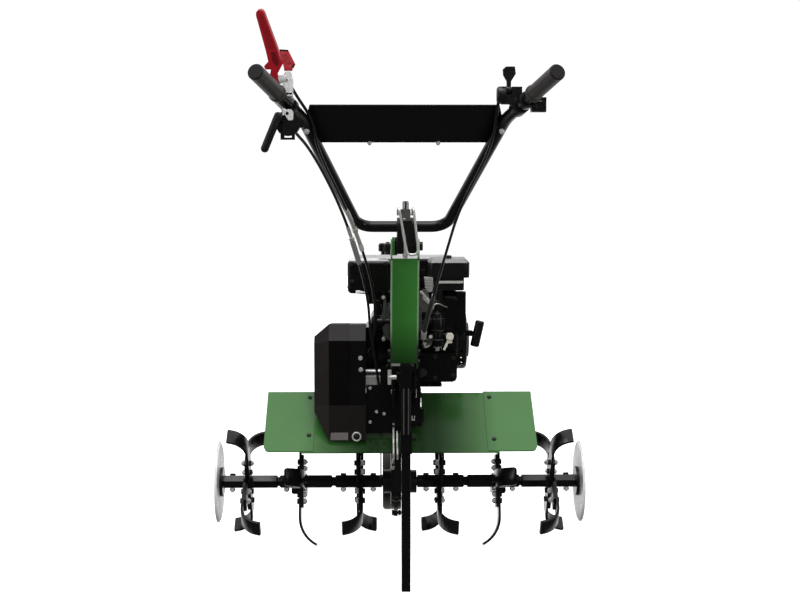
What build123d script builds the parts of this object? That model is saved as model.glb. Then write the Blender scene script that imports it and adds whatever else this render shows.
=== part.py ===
from build123d import *
import math
import os

os.makedirs("parts", exist_ok=True)

# ---------------------------------------------------------------------------
# Driving dimensions, mm. X is across (right of the operator is +X), Y points
# forward, Z up from the floor. Distances along Y are given from the tine axle.
# ---------------------------------------------------------------------------
AY = 209.41             # place of the tine axle along Y
ZA = 163.75             # height of the tine axle
PHI = 17.0              # rest angle of the tine rotor
NEAR = 180.0 - PHI      # direction of the rearward blade of the middle set

# tine rotor
TUBE_AF = 32.0          # hub tubes, across flats
SHAFT_AF = 23.0         # hexagonal shaft, across flats
HEX_GAP = 0.25
SET_X = (104.0, 253.0, 397.0)       # middle of each blade set
HUB_X = ((46.0, 168.0), (176.0, 313.0), (318.0, 458.0))
BLADE_W = 45.0
BLADE_T = 6.0
BLADE_R0 = 23.5
# (straight length, bend radius, bend angle, straight end) of the blades of each set
BLADE_BEND = ((113.0, 50.0, 75.0, 13.0), (93.0, 78.0, 64.0, 0.0), (113.0, 50.0, 75.0, 13.0))
BOLT_RADII = ((35.0, 68.0), (34.0, 51.0), (35.0, 68.0))
PLATE_R = (84.0, 68.0, 84.0)        # reach of the cross plates
DISC_R = 105.0

# drive
INPUT = (-60.0, 460.0)              # input shaft, (y, z)
COUNTER = (-40.0, 460.0 - math.sqrt(70.0**2 - 20.0**2))
CRANK = (135.0, 520.0)              # engine crankshaft
MODULE = 2.0
PINION_Z = 16
GEAR_Z = 54
CHAIN_X = -10.0
AXLE_SPROCKET_R = 60.75
COUNTER_SPROCKET_R = 20.55
DRIVE_R = 32.0                      # belt grooves of the two pulleys
DRIVEN_R = 64.0
BELT_X = (-165.0, -147.0)           # middles of the two belts
IDLER = (45.0, 513.0)
ARM_PIVOT = (-15.0, 503.0)

# engine
BASE_Z = 414.0
CYL_X = 15.0
CYL_TILT = 25.0

# handlebar
TUBE_R = 13.0
CROSS = (-350.0, 846.0)
CORNER_X = 102.0
BEND = (213.0, -640.0, 1085.0)
GRIP_END = (292.0, -860.0, 1168.0)
TILT = (-312.0, 798.0)              # pivot of the handlebar

# front wheel and stake
WHEEL = (370.0, 82.5)
WHEEL_X = -28.0
ARM_TOP = (428.0, 296.0)
SX = 8.0                    # the column, its clamp and the stake stand right of the middle
STAKE_Y = -420.0
STAKE = 21.0


# ---------------------------------------------------------------------------
# Planes and small helpers
# ---------------------------------------------------------------------------
def V(x, y, z):
    return Vector(x, AY + y, z)


def side(x, y=0.0, z=0.0):
    return Plane(origin=(x, AY + y, z), x_dir=(0, 1, 0), z_dir=(1, 0, 0))


def top(z, x=0.0, y=0.0):
    return Plane(origin=(x, AY + y, z), x_dir=(1, 0, 0), z_dir=(0, 0, 1))


def back(y, x=0.0, z=0.0):
    return Plane(origin=(x, AY + y, z), x_dir=(1, 0, 0), z_dir=(0, -1, 0))


def rod(p, q, r, mode=Mode.ADD):
    d = q - p
    with BuildSketch(Plane(origin=p, z_dir=d)) as s:
        Circle(r)
    extrude(s.sketch, amount=d.length, mode=mode)


def hexbar(p, q, af, mode=Mode.ADD):
    d = q - p
    with BuildSketch(Plane(origin=p, z_dir=d)) as s:
        RegularPolygon(radius=af / 2, side_count=6, major_radius=False)
    extrude(s.sketch, amount=d.length, mode=mode)


def bar_x(x0, x1, y, z, r, mode=Mode.ADD):
    rod(V(x0, y, z), V(x1, y, z), r, mode)


def ring_x(x0, x1, y, z, ro, ri, mode=Mode.ADD):
    with BuildSketch(side(x0, y, z)) as s:
        Circle(ro)
        Circle(ri, mode=Mode.SUBTRACT)
    extrude(s.sketch, amount=x1 - x0, mode=mode)


def block(x0, x1, y0, y1, z0, z1, mode=Mode.ADD):
    with Locations(V((x0 + x1) / 2, (y0 + y1) / 2, (z0 + z1) / 2)):
        Box(x1 - x0, y1 - y0, z1 - z0, mode=mode)


def slab(x0, x1, pts, mode=Mode.ADD):
    with BuildSketch(side(x0)) as s:
        with BuildLine():
            Polyline(*pts, close=True)
        make_face()
    extrude(s.sketch, amount=x1 - x0, mode=mode)


def hull_x(x0, x1, circles, mode=Mode.ADD):
    with BuildSketch(side(x0)) as s:
        for y, z, r in circles:
            with Locations((y, z)):
                Circle(r)
        make_hull()
    extrude(s.sketch, amount=x1 - x0, mode=mode)


def bolt(p, direction, af, head, shank, length, nut=0.0, mode=Mode.ADD):
    """Hexagon bolt: the head sits on p and the shank runs against direction."""
    d = Vector(*direction).normalized()
    hexbar(p, p + d * head, af, mode)
    rod(p, p - d * length, shank, mode)
    if nut:
        q = p - d * (length - nut - 3.0)
        hexbar(q - d * nut, q, af, mode)


def spur_points(teeth, module, thin, start_deg):
    """Outline of an involute spur gear as points (20 degrees pressure angle)."""
    rp = teeth * module / 2
    rb = rp * math.cos(math.radians(20))
    ra = rp + module * 0.95
    rf = rp - module * 1.25
    inv = lambda a: math.tan(a) - a
    half = math.pi / (2 * teeth) - thin / rp + inv(math.radians(20))
    pts = []
    for t in range(teeth):
        c = math.radians(start_deg) + 2 * math.pi * t / teeth
        r0 = max(rb, rf + 0.1)
        radii = [r0 + (ra - r0) * k / 3 for k in range(4)]
        angs = [half - inv(math.acos(min(1.0, rb / r))) for r in radii]
        pts.append((rf, c - angs[0] - 0.01))
        for r, a in zip(radii, angs):
            pts.append((r, c - a))
        for r, a in reversed(list(zip(radii, angs))):
            pts.append((r, c + a))
        pts.append((rf, c + angs[0] + 0.01))
    return [(r * math.cos(a), r * math.sin(a)) for r, a in pts]


def star(teeth, ro, ri):
    pts = []
    for t in range(teeth):
        for k, r in ((0.0, ri), (0.25, ro), (0.5, ro), (0.75, ri)):
            a = 2 * math.pi * (t + k) / teeth
            pts.append((r * math.cos(a), r * math.sin(a)))
    return pts


def toothed(x0, x1, y, z, pts, mode=Mode.ADD):
    with BuildSketch(side(x0, y, z)) as s:
        with BuildLine():
            Polyline(*pts, close=True)
        make_face()
    extrude(s.sketch, amount=x1 - x0, mode=mode)


def wire_rod(points, radii, r):
    """Round bar of radius r along straight runs joined by tangent arcs."""
    with BuildLine() as path:
        FilletPolyline(*points, radius=radii)
    with BuildSketch(Plane(origin=path.line @ 0, z_dir=path.line % 0)) as s:
        Circle(r)
    sweep(s.sketch, path=path.line)


# ---------------------------------------------------------------------------
# Tine rotor
# ---------------------------------------------------------------------------
def rotor_at(x, angle, radius=0.0, flip=False):
    """Place on the rotor: local Z is radial at the angle, local X along the axle."""
    loc = Location((x, AY, ZA), (angle - 90.0, 0, 0)) * Location((0, 0, radius))
    return loc * Location((0, 0, 0), (0, 0, 180)) if flip else loc


def hex_tube(x0, x1, af, bore, mode=Mode.ADD):
    with BuildSketch(side(x0, 0, ZA)) as s:
        RegularPolygon(radius=af / 2, side_count=6, major_radius=False, rotation=NEAR)
        if bore:
            RegularPolygon(radius=bore / 2, side_count=6, major_radius=False,
                           rotation=NEAR, mode=Mode.SUBTRACT)
    extrude(s.sketch, amount=x1 - x0, mode=mode)


def cross_plate(k):
    x, turn = SET_X[k], TURN[k]
    with BuildSketch(side(x - 3.0, 0, ZA)) as s:
        Rectangle(2 * PLATE_R[k], 42, rotation=turn)
        Rectangle(42, 2 * PLATE_R[k], rotation=turn)
        RegularPolygon(radius=TUBE_AF / 2 - 1.0, side_count=6, major_radius=False,
                       rotation=NEAR, mode=Mode.SUBTRACT)
        for r in BOLT_RADII[k]:
            with PolarLocations(r, 4, start_angle=turn):
                Circle(4.3, mode=Mode.SUBTRACT)
    extrude(s.sketch, amount=6.0)


def pin_hole(x, mode=Mode.SUBTRACT):
    a = math.radians(NEAR - 90)
    u = Vector(0, math.cos(a), math.sin(a))
    rod(V(x, 0, ZA) - u * 30, V(x, 0, ZA) + u * 30, 4.3, mode)


PIN_X = (69.0, 147.0, 295.0, 436.0)
TURN = (NEAR - 130.0, NEAR - 90.0, NEAR - 130.0)
NEAR_UP, NEAR_LOW, FAR_LOW, FAR_UP = NEAR - 40, NEAR + 50, NEAR + 140, NEAR - 130
# (set, angle, outward bend) of each blade on the right-hand side
BLADES = [(0, NEAR_UP, False), (0, NEAR_LOW, True), (0, FAR_LOW, False), (0, FAR_UP, True),
          (1, NEAR, True), (1, NEAR + 90, False), (1, NEAR + 180, True), (1, NEAR - 90, False),
          (2, NEAR_UP, True), (2, NEAR_LOW, False), (2, FAR_LOW, True), (2, FAR_UP, False)]

with BuildPart() as tine_axle:
    hex_tube(44.5, 122.0, SHAFT_AF, 0)
    pin_hole(PIN_X[0])
    mirror(about=Plane.YZ)
    bar_x(-45.0, 45.0, 0, ZA, 12.5)
    bar_x(CHAIN_X - 9, CHAIN_X + 9, 0, ZA, 18.0)
    with BuildSketch(side(CHAIN_X - 3.5, 0, ZA)):
        Circle(57.6)
        with PolarLocations(AXLE_SPROCKET_R, 30):
            Circle(5.0, mode=Mode.SUBTRACT)
        with PolarLocations(38.0, 6):
            Circle(9.0, mode=Mode.SUBTRACT)
    extrude(amount=7.0)
tine_axle.part.label = "tine_axle"
export_step(tine_axle.part, "parts/tine_axle.step")

with BuildPart() as hub_1:
    hex_tube(HUB_X[0][0], HUB_X[0][1], TUBE_AF, SHAFT_AF + 2 * HEX_GAP)
    chamfer(hub_1.faces().sort_by(Axis.X)[-1].outer_wire().edges(), 2.5)
    cross_plate(0)
    pin_hole(PIN_X[0])
    pin_hole(PIN_X[1])
with BuildPart() as inner_hubs:
    add(hub_1.part)
    mirror(hub_1.part, about=Plane.YZ)
inner_hubs.part.label = "inner_hubs"
export_step(inner_hubs.part, "parts/inner_hubs.step")

with BuildPart() as hub_2:
    hex_tube(HUB_X[1][0], HUB_X[1][1], TUBE_AF, SHAFT_AF + 2 * HEX_GAP)
    chamfer(hub_2.faces().sort_by(Axis.X)[0].outer_wire().edges(), 2.5)
    chamfer(hub_2.faces().sort_by(Axis.X)[-1].outer_wire().edges(), 2.5)
    hex_tube(126.0, 190.0, SHAFT_AF, 0)
    hex_tube(177.0, 190.0, SHAFT_AF + 4 * HEX_GAP, 0)
    cross_plate(1)
    pin_hole(PIN_X[1])
    pin_hole(PIN_X[2])
with BuildPart() as middle_hubs:
    add(hub_2.part)
    mirror(hub_2.part, about=Plane.YZ)
middle_hubs.part.label = "middle_hubs"
export_step(middle_hubs.part, "parts/middle_hubs.step")

with BuildPart() as hub_3:
    hex_tube(HUB_X[2][0], HUB_X[2][1], TUBE_AF, SHAFT_AF + 2 * HEX_GAP)
    chamfer(hub_3.faces().sort_by(Axis.X)[0].outer_wire().edges(), 2.5)
    hex_tube(268.0, 332.0, SHAFT_AF, 0)
    hex_tube(319.0, 332.0, SHAFT_AF + 4 * HEX_GAP, 0)
    cross_plate(2)
    pin_hole(PIN_X[2])
    pin_hole(PIN_X[3])
with BuildPart() as outer_hubs:
    add(hub_3.part)
    mirror(hub_3.part, about=Plane.YZ)
outer_hubs.part.label = "outer_hubs"
export_step(outer_hubs.part, "parts/outer_hubs.step")



def blade_shape(k):
    """A blade of set k: radial along Z, flat on the plate at x = -3, bending across it towards +X."""
    cx, r, bend, end = BLADE_BEND[k]
    b = math.radians(bend)
    ro, ri = r + BLADE_T / 2, r - BLADE_T / 2
    x0, x1 = -3.0 - BLADE_T, -3.0
    cy = x0 + BLADE_T / 2 + r
    o1 = (cx + ro * math.sin(b), cy - ro * math.cos(b))
    i1 = (cx + ri * math.sin(b), cy - ri * math.cos(b))
    o2 = (o1[0] + end * math.cos(b), o1[1] + end * math.sin(b))
    i2 = (i1[0] + end * math.cos(b), i1[1] + end * math.sin(b))
    with BuildSketch(Plane(origin=(0, 0, 0), x_dir=(0, 0, 1), z_dir=(0, 1, 0))) as s:
        with BuildLine():
            Line((BLADE_R0, x0), (cx, x0))
            ThreePointArc((cx, x0), (cx + ro * math.sin(b / 2), cy - ro * math.cos(b / 2)), o1)
            if end:
                Polyline(o1, o2, i2, i1)
            else:
                Line(o1, i1)
            ThreePointArc(i1, (cx + ri * math.sin(b / 2), cy - ri * math.cos(b / 2)),
                          (cx, x1))
            Polyline((cx, x1), (BLADE_R0, x1), (BLADE_R0, x0))
        make_face()
    extrude(s.sketch, amount=BLADE_W / 2, both=True)
    for r in BOLT_RADII[k]:
        with Locations(Location((-6, 0, r), (0, 90, 0))):
            Cylinder(4.3, 20, mode=Mode.SUBTRACT)


with BuildPart() as blade:
    blade_shape(0)
    fillet(blade.faces().sort_by(Axis.X)[-1].edges().filter_by(lambda e: e.length < BLADE_T + 0.5),
           3.0)
with BuildPart() as middle_blade:
    blade_shape(1)
    fillet(middle_blade.faces().sort_by(Axis.X)[-1].edges()
           .filter_by(lambda e: e.length < BLADE_T + 0.5), 7.0)
with BuildPart() as tines:
    with Locations(*[rotor_at(SET_X[k], a, flip=not out) for k, a, out in BLADES if k != 1]):
        add(blade.part)
    with Locations(*[rotor_at(SET_X[k], a, flip=not out) for k, a, out in BLADES if k == 1]):
        add(middle_blade.part)
    mirror(about=Plane.YZ)
tines.part.label = "tines"
export_step(tines.part, "parts/tines.step")

with BuildPart() as disc:
    hex_tube(412.0, 462.0, SHAFT_AF, 0)
    pin_hole(PIN_X[3])
    bar_x(459.0, 467.0, 0, ZA, 38.0)
    bar_x(467.0, 470.0, 0, ZA, 100.0)
    with BuildSketch(side(470.0, 0, ZA)):
        Circle(DISC_R)
        Circle(97.0, mode=Mode.SUBTRACT)
    extrude(amount=3.0, dir=(1, 0, 0))
    with BuildSketch(side(467.0, 0, ZA)):
        Circle(100.0)
        Circle(97.0, mode=Mode.SUBTRACT)
    extrude(amount=4.5)
    with Locations(*[rotor_at(470.0, a, 27.0) for a in (20, 110, 200, 290)]):
        add(Solid.make_cylinder(5.0, 4.0, Plane(origin=(0, 0, 0), z_dir=(1, 0, 0))))
with BuildPart() as plant_discs:
    add(disc.part)
    mirror(disc.part, about=Plane.YZ)
plant_discs.part.label = "plant_discs"
export_step(plant_discs.part, "parts/plant_discs.step")

# blade bolt along X (head on the blade) and hub bolt along Z (head up)
with BuildPart() as blade_bolt:
    bolt(Vector(-3.0 - BLADE_T, 0, 0), (-1, 0, 0), 13.0, 5.3, 4.0, 21.5, nut=6.5)
with BuildPart() as hub_bolt:
    bolt(Vector(0, 0, TUBE_AF / 2), (0, 0, 1), 13.0, 5.5, 4.0, 43.0, nut=7.0)
with BuildPart() as rotor_bolts:
    with Locations(*[rotor_at(SET_X[k], a, r, flip=not out)
                     for k, a, out in BLADES for r in BOLT_RADII[k]]):
        add(blade_bolt.part)
    with Locations(*[rotor_at(x, NEAR - 90) for x in PIN_X]):
        add(hub_bolt.part)
    mirror(about=Plane.YZ)
rotor_bolts.part.label = "rotor_bolts"
export_step(rotor_bolts.part, "parts/rotor_bolts.step")

# ---------------------------------------------------------------------------
# Gearbox: two half cases, shafts, chain, bearings
# ---------------------------------------------------------------------------
LEG = [(0, ZA, 72.0), (COUNTER[0], COUNTER[1], 64.0), (INPUT[0], INPUT[1], 30.0)]
UPPER = [(COUNTER[0], COUNTER[1], 64.0), (INPUT[0], INPUT[1], 30.0)]
CASE_BOLTS = [(79.0, 138.0), (-79.0, 138.0), (0.0, 80.0), (-103.0, 255.0), (72.0, 262.0),
              (-110.0, 345.0), (40.0, 380.0), (-104.0, 476.0), (-20.0, 482.0)]


def grow(circles, d):
    return [(y, z, r + d) for y, z, r in circles]


def case_flange(x0, x1):
    hull_x(x0, x1, grow(LEG, 5.0))
    for y, z in CASE_BOLTS:
        best = None
        for k in range(61):
            if k <= 40:
                t = k / 40.0
                cy, cz = COUNTER[0] * t, ZA + (COUNTER[1] - ZA) * t
            else:
                t = (k - 40) / 20.0
                cy = COUNTER[0] + (INPUT[0] - COUNTER[0]) * t
                cz = COUNTER[1] + (INPUT[1] - COUNTER[1]) * t
            d = (y - cy) ** 2 + (z - cz) ** 2
            if best is None or d < best[0]:
                best = (d, cy, cz)
        hull_x(x0, x1, [(y, z, 9.0), (best[1], best[2], 20.0)])


def case_holes():
    for y, z in CASE_BOLTS:
        bar_x(-40, 60, y, z, 4.2, Mode.SUBTRACT)
    for y, z in ((-76.0, 404.0), (-2.0, 404.0)):
        bar_x(-46, -28, y, z, 4.2, Mode.SUBTRACT)
        bar_x(28, 46, y, z, 4.2, Mode.SUBTRACT)


with BuildPart() as gearbox_case_left:
    hull_x(-23.0, -10.0, LEG)
    case_flange(-15.0, -10.0)
    bar_x(-44.0, -20.0, 0, ZA, 30.0)
    for y, z in (COUNTER, INPUT):
        bar_x(-35.0, -22.0, y, z, 22.0)
    for y, z in ((-76.0, 404.0), (-2.0, 404.0)):
        bar_x(-44.0, -22.0, y, z, 10.0)
    hull_x(-19.0, -9.0, grow(LEG, -4.0), Mode.SUBTRACT)
    bar_x(-45.0, -24.0, 0, ZA, 23.5, Mode.SUBTRACT)
    bar_x(-25.0, -18.0, 0, ZA, 16.0, Mode.SUBTRACT)
    for y, z in (COUNTER, INPUT):
        bar_x(-31.0, -18.0, y, z, 16.0, Mode.SUBTRACT)
    bar_x(-36.0, -30.0, INPUT[0], INPUT[1], 11.0, Mode.SUBTRACT)
    case_holes()
gearbox_case_left.part.label = "gearbox_case_left"
export_step(gearbox_case_left.part, "parts/gearbox_case_left.step")

with BuildPart() as gearbox_case_right:
    hull_x(-10.0, 3.0, LEG)
    hull_x(-10.0, 44.0, UPPER)
    case_flange(-10.0, -5.0)
    bar_x(0.0, 44.0, 0, ZA, 30.0)
    for y, z in (COUNTER, INPUT):
        bar_x(40.0, 50.0, y, z, 20.0)
    hull_x(-11.0, -1.0, grow(LEG, -4.0), Mode.SUBTRACT)
    hull_x(-11.0, 40.0, grow(UPPER, -4.0), Mode.SUBTRACT)
    bar_x(24.0, 45.0, 0, ZA, 23.5, Mode.SUBTRACT)
    bar_x(-2.0, 25.0, 0, ZA, 16.0, Mode.SUBTRACT)
    for y, z in (COUNTER, INPUT):
        bar_x(39.0, 47.0, y, z, 16.0, Mode.SUBTRACT)
    case_holes()
gearbox_case_right.part.label = "gearbox_case_right"
export_step(gearbox_case_right.part, "parts/gearbox_case_right.step")

with BuildPart() as bearings_and_seals:
    for s in (-1, 1):
        ring_x(min(24 * s, 36 * s), max(24 * s, 36 * s), 0, ZA, 23.5, 12.55)
        ring_x(min(37 * s, 43.5 * s), max(37 * s, 43.5 * s), 0, ZA, 23.5, 12.55)
    for y, z in (COUNTER, INPUT):
        ring_x(-31.0, -22.0, y, z, 16.0, 10.05)
        ring_x(40.0, 47.0, y, z, 16.0, 10.05)
bearings_and_seals.part.label = "bearings_and_seals"
export_step(bearings_and_seals.part, "parts/bearings_and_seals.step")

MESH_DIR = math.degrees(math.atan2(COUNTER[1] - INPUT[1], COUNTER[0] - INPUT[0]))
with BuildPart() as input_shaft:
    bar_x(-188.0, 46.0, INPUT[0], INPUT[1], 10.0)
    toothed(11.0, 25.0, INPUT[0], INPUT[1], spur_points(PINION_Z, MODULE, 0.36, MESH_DIR))
    bar_x(-20.5, -14.0, INPUT[0], INPUT[1], 13.0)
input_shaft.part.label = "input_shaft"
export_step(input_shaft.part, "parts/input_shaft.step")

with BuildPart() as counter_shaft:
    bar_x(-30.5, 46.0, COUNTER[0], COUNTER[1], 10.0)
    toothed(12.0, 24.0, COUNTER[0], COUNTER[1],
            spur_points(GEAR_Z, MODULE, 0.36, MESH_DIR + 180 + 180.0 / GEAR_Z))
    bar_x(24.0, 34.0, COUNTER[0], COUNTER[1], 16.0)
    with BuildSketch(side(CHAIN_X - 3.5, COUNTER[0], COUNTER[1])):
        Circle(17.4)
        with PolarLocations(COUNTER_SPROCKET_R, 10):
            Circle(5.0, mode=Mode.SUBTRACT)
    extrude(amount=7.0)
counter_shaft.part.label = "counter_shaft"
export_step(counter_shaft.part, "parts/counter_shaft.step")


def loop_points(c1, r1, c2, r2, step):
    """Points along a chain or belt line around two circles, step apart."""
    d = Vector(c2[0] - c1[0], c2[1] - c1[1], 0)
    L = d.length
    a0 = math.atan2(d.Y, d.X)
    b = math.acos((r1 - r2) / L)
    run = math.sqrt(L**2 - (r1 - r2) ** 2)
    total = 2 * run + r1 * (2 * math.pi - 2 * b) + r2 * 2 * b
    n = int(round(total / step))
    out = []
    for k in range(n):
        s = total * k / n
        if s < run:
            p = (c1[0] + r1 * math.cos(a0 + b), c1[1] + r1 * math.sin(a0 + b))
            q = (c2[0] + r2 * math.cos(a0 + b), c2[1] + r2 * math.sin(a0 + b))
            t = s / run
            out.append((p[0] + (q[0] - p[0]) * t, p[1] + (q[1] - p[1]) * t))
            continue
        s -= run
        if s < r2 * 2 * b:
            a = a0 + b - s / r2
            out.append((c2[0] + r2 * math.cos(a), c2[1] + r2 * math.sin(a)))
            continue
        s -= r2 * 2 * b
        if s < run:
            p = (c2[0] + r2 * math.cos(a0 - b), c2[1] + r2 * math.sin(a0 - b))
            q = (c1[0] + r1 * math.cos(a0 - b), c1[1] + r1 * math.sin(a0 - b))
            t = s / run
            out.append((p[0] + (q[0] - p[0]) * t, p[1] + (q[1] - p[1]) * t))
            continue
        s -= run
        a = a0 - b - s / r1
        out.append((c1[0] + r1 * math.cos(a), c1[1] + r1 * math.sin(a)))
    return out


CHAIN = [(0, ZA, AXLE_SPROCKET_R), (COUNTER[0], COUNTER[1], COUNTER_SPROCKET_R)]
with BuildPart() as drive_chain:
    for x0, x1 in ((CHAIN_X - 6.4, CHAIN_X - 4.8), (CHAIN_X + 4.8, CHAIN_X + 6.4)):
        with BuildSketch(side(x0)) as band:
            with Locations((0, ZA)):
                Circle(AXLE_SPROCKET_R + 4.5)
            with Locations(COUNTER):
                Circle(COUNTER_SPROCKET_R + 4.5)
            make_hull()
            with BuildSketch(mode=Mode.PRIVATE) as hole:
                with Locations((0, ZA)):
                    Circle(AXLE_SPROCKET_R - 4.5)
                with Locations(COUNTER):
                    Circle(COUNTER_SPROCKET_R - 4.5)
                make_hull()
            add(hole.sketch, mode=Mode.SUBTRACT)
        extrude(amount=x1 - x0)
    with BuildSketch(side(CHAIN_X - 6.4)):
        with Locations(*loop_points((0, ZA), AXLE_SPROCKET_R, COUNTER, COUNTER_SPROCKET_R, 12.7)):
            Circle(2.2)
    extrude(amount=12.8)
drive_chain.part.label = "drive_chain"
export_step(drive_chain.part, "parts/drive_chain.step")

# ---------------------------------------------------------------------------
# Belt drive
# ---------------------------------------------------------------------------
def grooved(x0, x1, c, r, hub, bore):
    bar_x(x0, x1, c[0], c[1], r + 9.0)
    for bx in BELT_X:
        ring_x(bx - 6.9, bx + 6.9, c[0], c[1], r + 12.0, r, Mode.SUBTRACT)
    bar_x(x0 - 4.0, x1 + 8.0, c[0], c[1], hub)
    bar_x(x0 - 6.0, x1 + 10.0, c[0], c[1], bore, Mode.SUBTRACT)


with BuildPart() as driven_pulley:
    grooved(-175.0, -137.0, INPUT, DRIVEN_R, 20.0, 10.0)
    with BuildSketch(side(-180.0, INPUT[0], INPUT[1])):
        with PolarLocations(44.0, 6):
            Circle(13.0)
    extrude(amount=60.0, mode=Mode.SUBTRACT)
driven_pulley.part.label = "driven_pulley"
export_step(driven_pulley.part, "parts/driven_pulley.step")

with BuildPart() as drive_pulley:
    grooved(-175.0, -137.0, CRANK, DRIVE_R, 18.0, 10.0)
drive_pulley.part.label = "drive_pulley"
export_step(drive_pulley.part, "parts/drive_pulley.step")

with BuildPart() as drive_belts:
    for bx in BELT_X:
        with BuildSketch(side(bx - 6.2)) as band:
            with Locations(CRANK):
                Circle(DRIVE_R + 8.5)
            with Locations(INPUT):
                Circle(DRIVEN_R + 8.5)
            make_hull()
            with BuildSketch(mode=Mode.PRIVATE) as hole:
                with Locations(CRANK):
                    Circle(DRIVE_R + 0.5)
                with Locations(INPUT):
                    Circle(DRIVEN_R + 0.5)
                make_hull()
            add(hole.sketch, mode=Mode.SUBTRACT)
        extrude(amount=12.4)
drive_belts.part.label = "drive_belts"
export_step(drive_belts.part, "parts/drive_belts.step")

COVER = [(-152, 302), (-140, 389), (-140, 552), (-101, 590), (165, 563), (198, 536), (198, 478),
         (150, 452), (60, 428), (4, 406)]
COVER_X = (-217.0, -179.0, -129.0, -87.0)   # outer face, bevel, seam, back
with BuildPart() as belt_cover:
    with BuildSketch(side(COVER_X[2])):
        with BuildLine():
            Polyline(*COVER, close=True)
        make_face()
    extrude(amount=COVER_X[1] - COVER_X[2])
    with BuildSketch(side(COVER_X[1])):
        with BuildLine():
            Polyline(*COVER, close=True)
        make_face()
    extrude(amount=COVER_X[0] - COVER_X[1], taper=40.0)
    with BuildSketch(side(COVER_X[2] + 1.0)):
        with BuildLine():
            Polyline(*COVER, close=True)
        make_face()
        offset(amount=-2.5, kind=Kind.INTERSECTION, mode=Mode.REPLACE)
    extrude(amount=COVER_X[1] - COVER_X[2], mode=Mode.SUBTRACT)
    with BuildSketch(side(COVER_X[1] + 1.2)):
        with BuildLine():
            Polyline(*COVER, close=True)
        make_face()
        offset(amount=-2.5, kind=Kind.INTERSECTION, mode=Mode.REPLACE)
    extrude(amount=COVER_X[0] - COVER_X[1] + 1.5, taper=40.0, mode=Mode.SUBTRACT)
belt_cover.part.label = "belt_cover"
export_step(belt_cover.part, "parts/belt_cover.step")

with BuildPart() as belt_back_plate:
    with BuildSketch(side(COVER_X[3])):
        with BuildLine():
            Polyline(*COVER, close=True)
        make_face()
        offset(amount=-0.6, kind=Kind.INTERSECTION, mode=Mode.REPLACE)
    extrude(amount=COVER_X[2] - COVER_X[3] + 0.3)
    with BuildSketch(side(COVER_X[3] - 3.0)):
        with BuildLine():
            Polyline(*COVER, close=True)
        make_face()
        offset(amount=-3.4, kind=Kind.INTERSECTION, mode=Mode.REPLACE)
    extrude(amount=COVER_X[2] - COVER_X[3] + 2.0, mode=Mode.SUBTRACT)
    bar_x(-92.0, -80.0, INPUT[0], INPUT[1], 16.0, Mode.SUBTRACT)
    bar_x(-92.0, -80.0, CRANK[0], CRANK[1], 30.0, Mode.SUBTRACT)
    bar_x(-118.5, -88.0, ARM_PIVOT[0], ARM_PIVOT[1], 11.0)
    bar_x(-128.5, -88.0, ARM_PIVOT[0], ARM_PIVOT[1], 6.0)
    block(-88.0, -50.0, -100.0, -84.0, 386.0, 412.0)
belt_back_plate.part.label = "belt_back_plate"
export_step(belt_back_plate.part, "parts/belt_back_plate.step")

with BuildPart() as tensioner_arm:
    hull_x(-125.0, -119.0, [(ARM_PIVOT[0], ARM_PIVOT[1], 12.0), (IDLER[0], IDLER[1], 11.0)])
    bar_x(-175.0, -120.0, IDLER[0], IDLER[1], 7.0)
    hull_x(-125.0, -119.0, [(ARM_PIVOT[0], ARM_PIVOT[1], 12.0),
                            (ARM_PIVOT[0] - 26.0, ARM_PIVOT[1] + 18.0, 7.0)])
    bar_x(-126.0, -118.0, ARM_PIVOT[0], ARM_PIVOT[1], 6.05, Mode.SUBTRACT)
    bar_x(-126.0, -118.0, ARM_PIVOT[0] - 26.0, ARM_PIVOT[1] + 18.0, 3.0, Mode.SUBTRACT)
tensioner_arm.part.label = "tensioner_arm"
export_step(tensioner_arm.part, "parts/tensioner_arm.step")

with BuildPart() as idler_pulley:
    ring_x(-174.0, -138.0, IDLER[0], IDLER[1], 20.0, 7.05)
    ring_x(-174.0, -172.0, IDLER[0], IDLER[1], 22.5, 7.05)
    ring_x(-140.0, -138.0, IDLER[0], IDLER[1], 22.5, 7.05)
idler_pulley.part.label = "idler_pulley"
export_step(idler_pulley.part, "parts/idler_pulley.step")

# ---------------------------------------------------------------------------
# Frame, rear bracket, column, mud guards
# ---------------------------------------------------------------------------
with BuildPart() as engine_frame:
    for x0, x1 in ((-50.0, -44.0), (44.0, 50.0)):
        slab(x0, x1, [(-128, 386), (-128, 414), (300, 414), (300, 386), (60, 394)])
    block(-80.0, 112.0, 45.0, 238.0, 406.0, BASE_Z)
    block(-56.0, 50.0, 272.0, 300.0, 406.0, 414.0)
    for x0, x1 in ((WHEEL_X - 28.0, WHEEL_X - 24.0), (WHEEL_X + 24.0, WHEEL_X + 28.0)):
        slab(x0, x1, [(272, 408), (300, 408), (436, 316), (444, 300), (440, 284), (424, 278),
                      (410, 284), (272, 388)])
        bar_x(x0 - 1, x1 + 1, ARM_TOP[0], ARM_TOP[1], 6.05, Mode.SUBTRACT)
    block(WHEEL_X - 28.0, WHEEL_X + 28.0, 330.0, 340.0, 350.0, 378.0)
    for x0, x1 in ((-51.0, -43.0), (43.0, 51.0)):
        for y, z in ((-76.0, 404.0), (-2.0, 404.0)):
            bar_x(x0, x1, y, z, 4.2, Mode.SUBTRACT)
    bar_x(43.0, 51.0, COUNTER[0], COUNTER[1], 20.6, Mode.SUBTRACT)
engine_frame.part.label = "engine_frame"
export_step(engine_frame.part, "parts/engine_frame.step")

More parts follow.
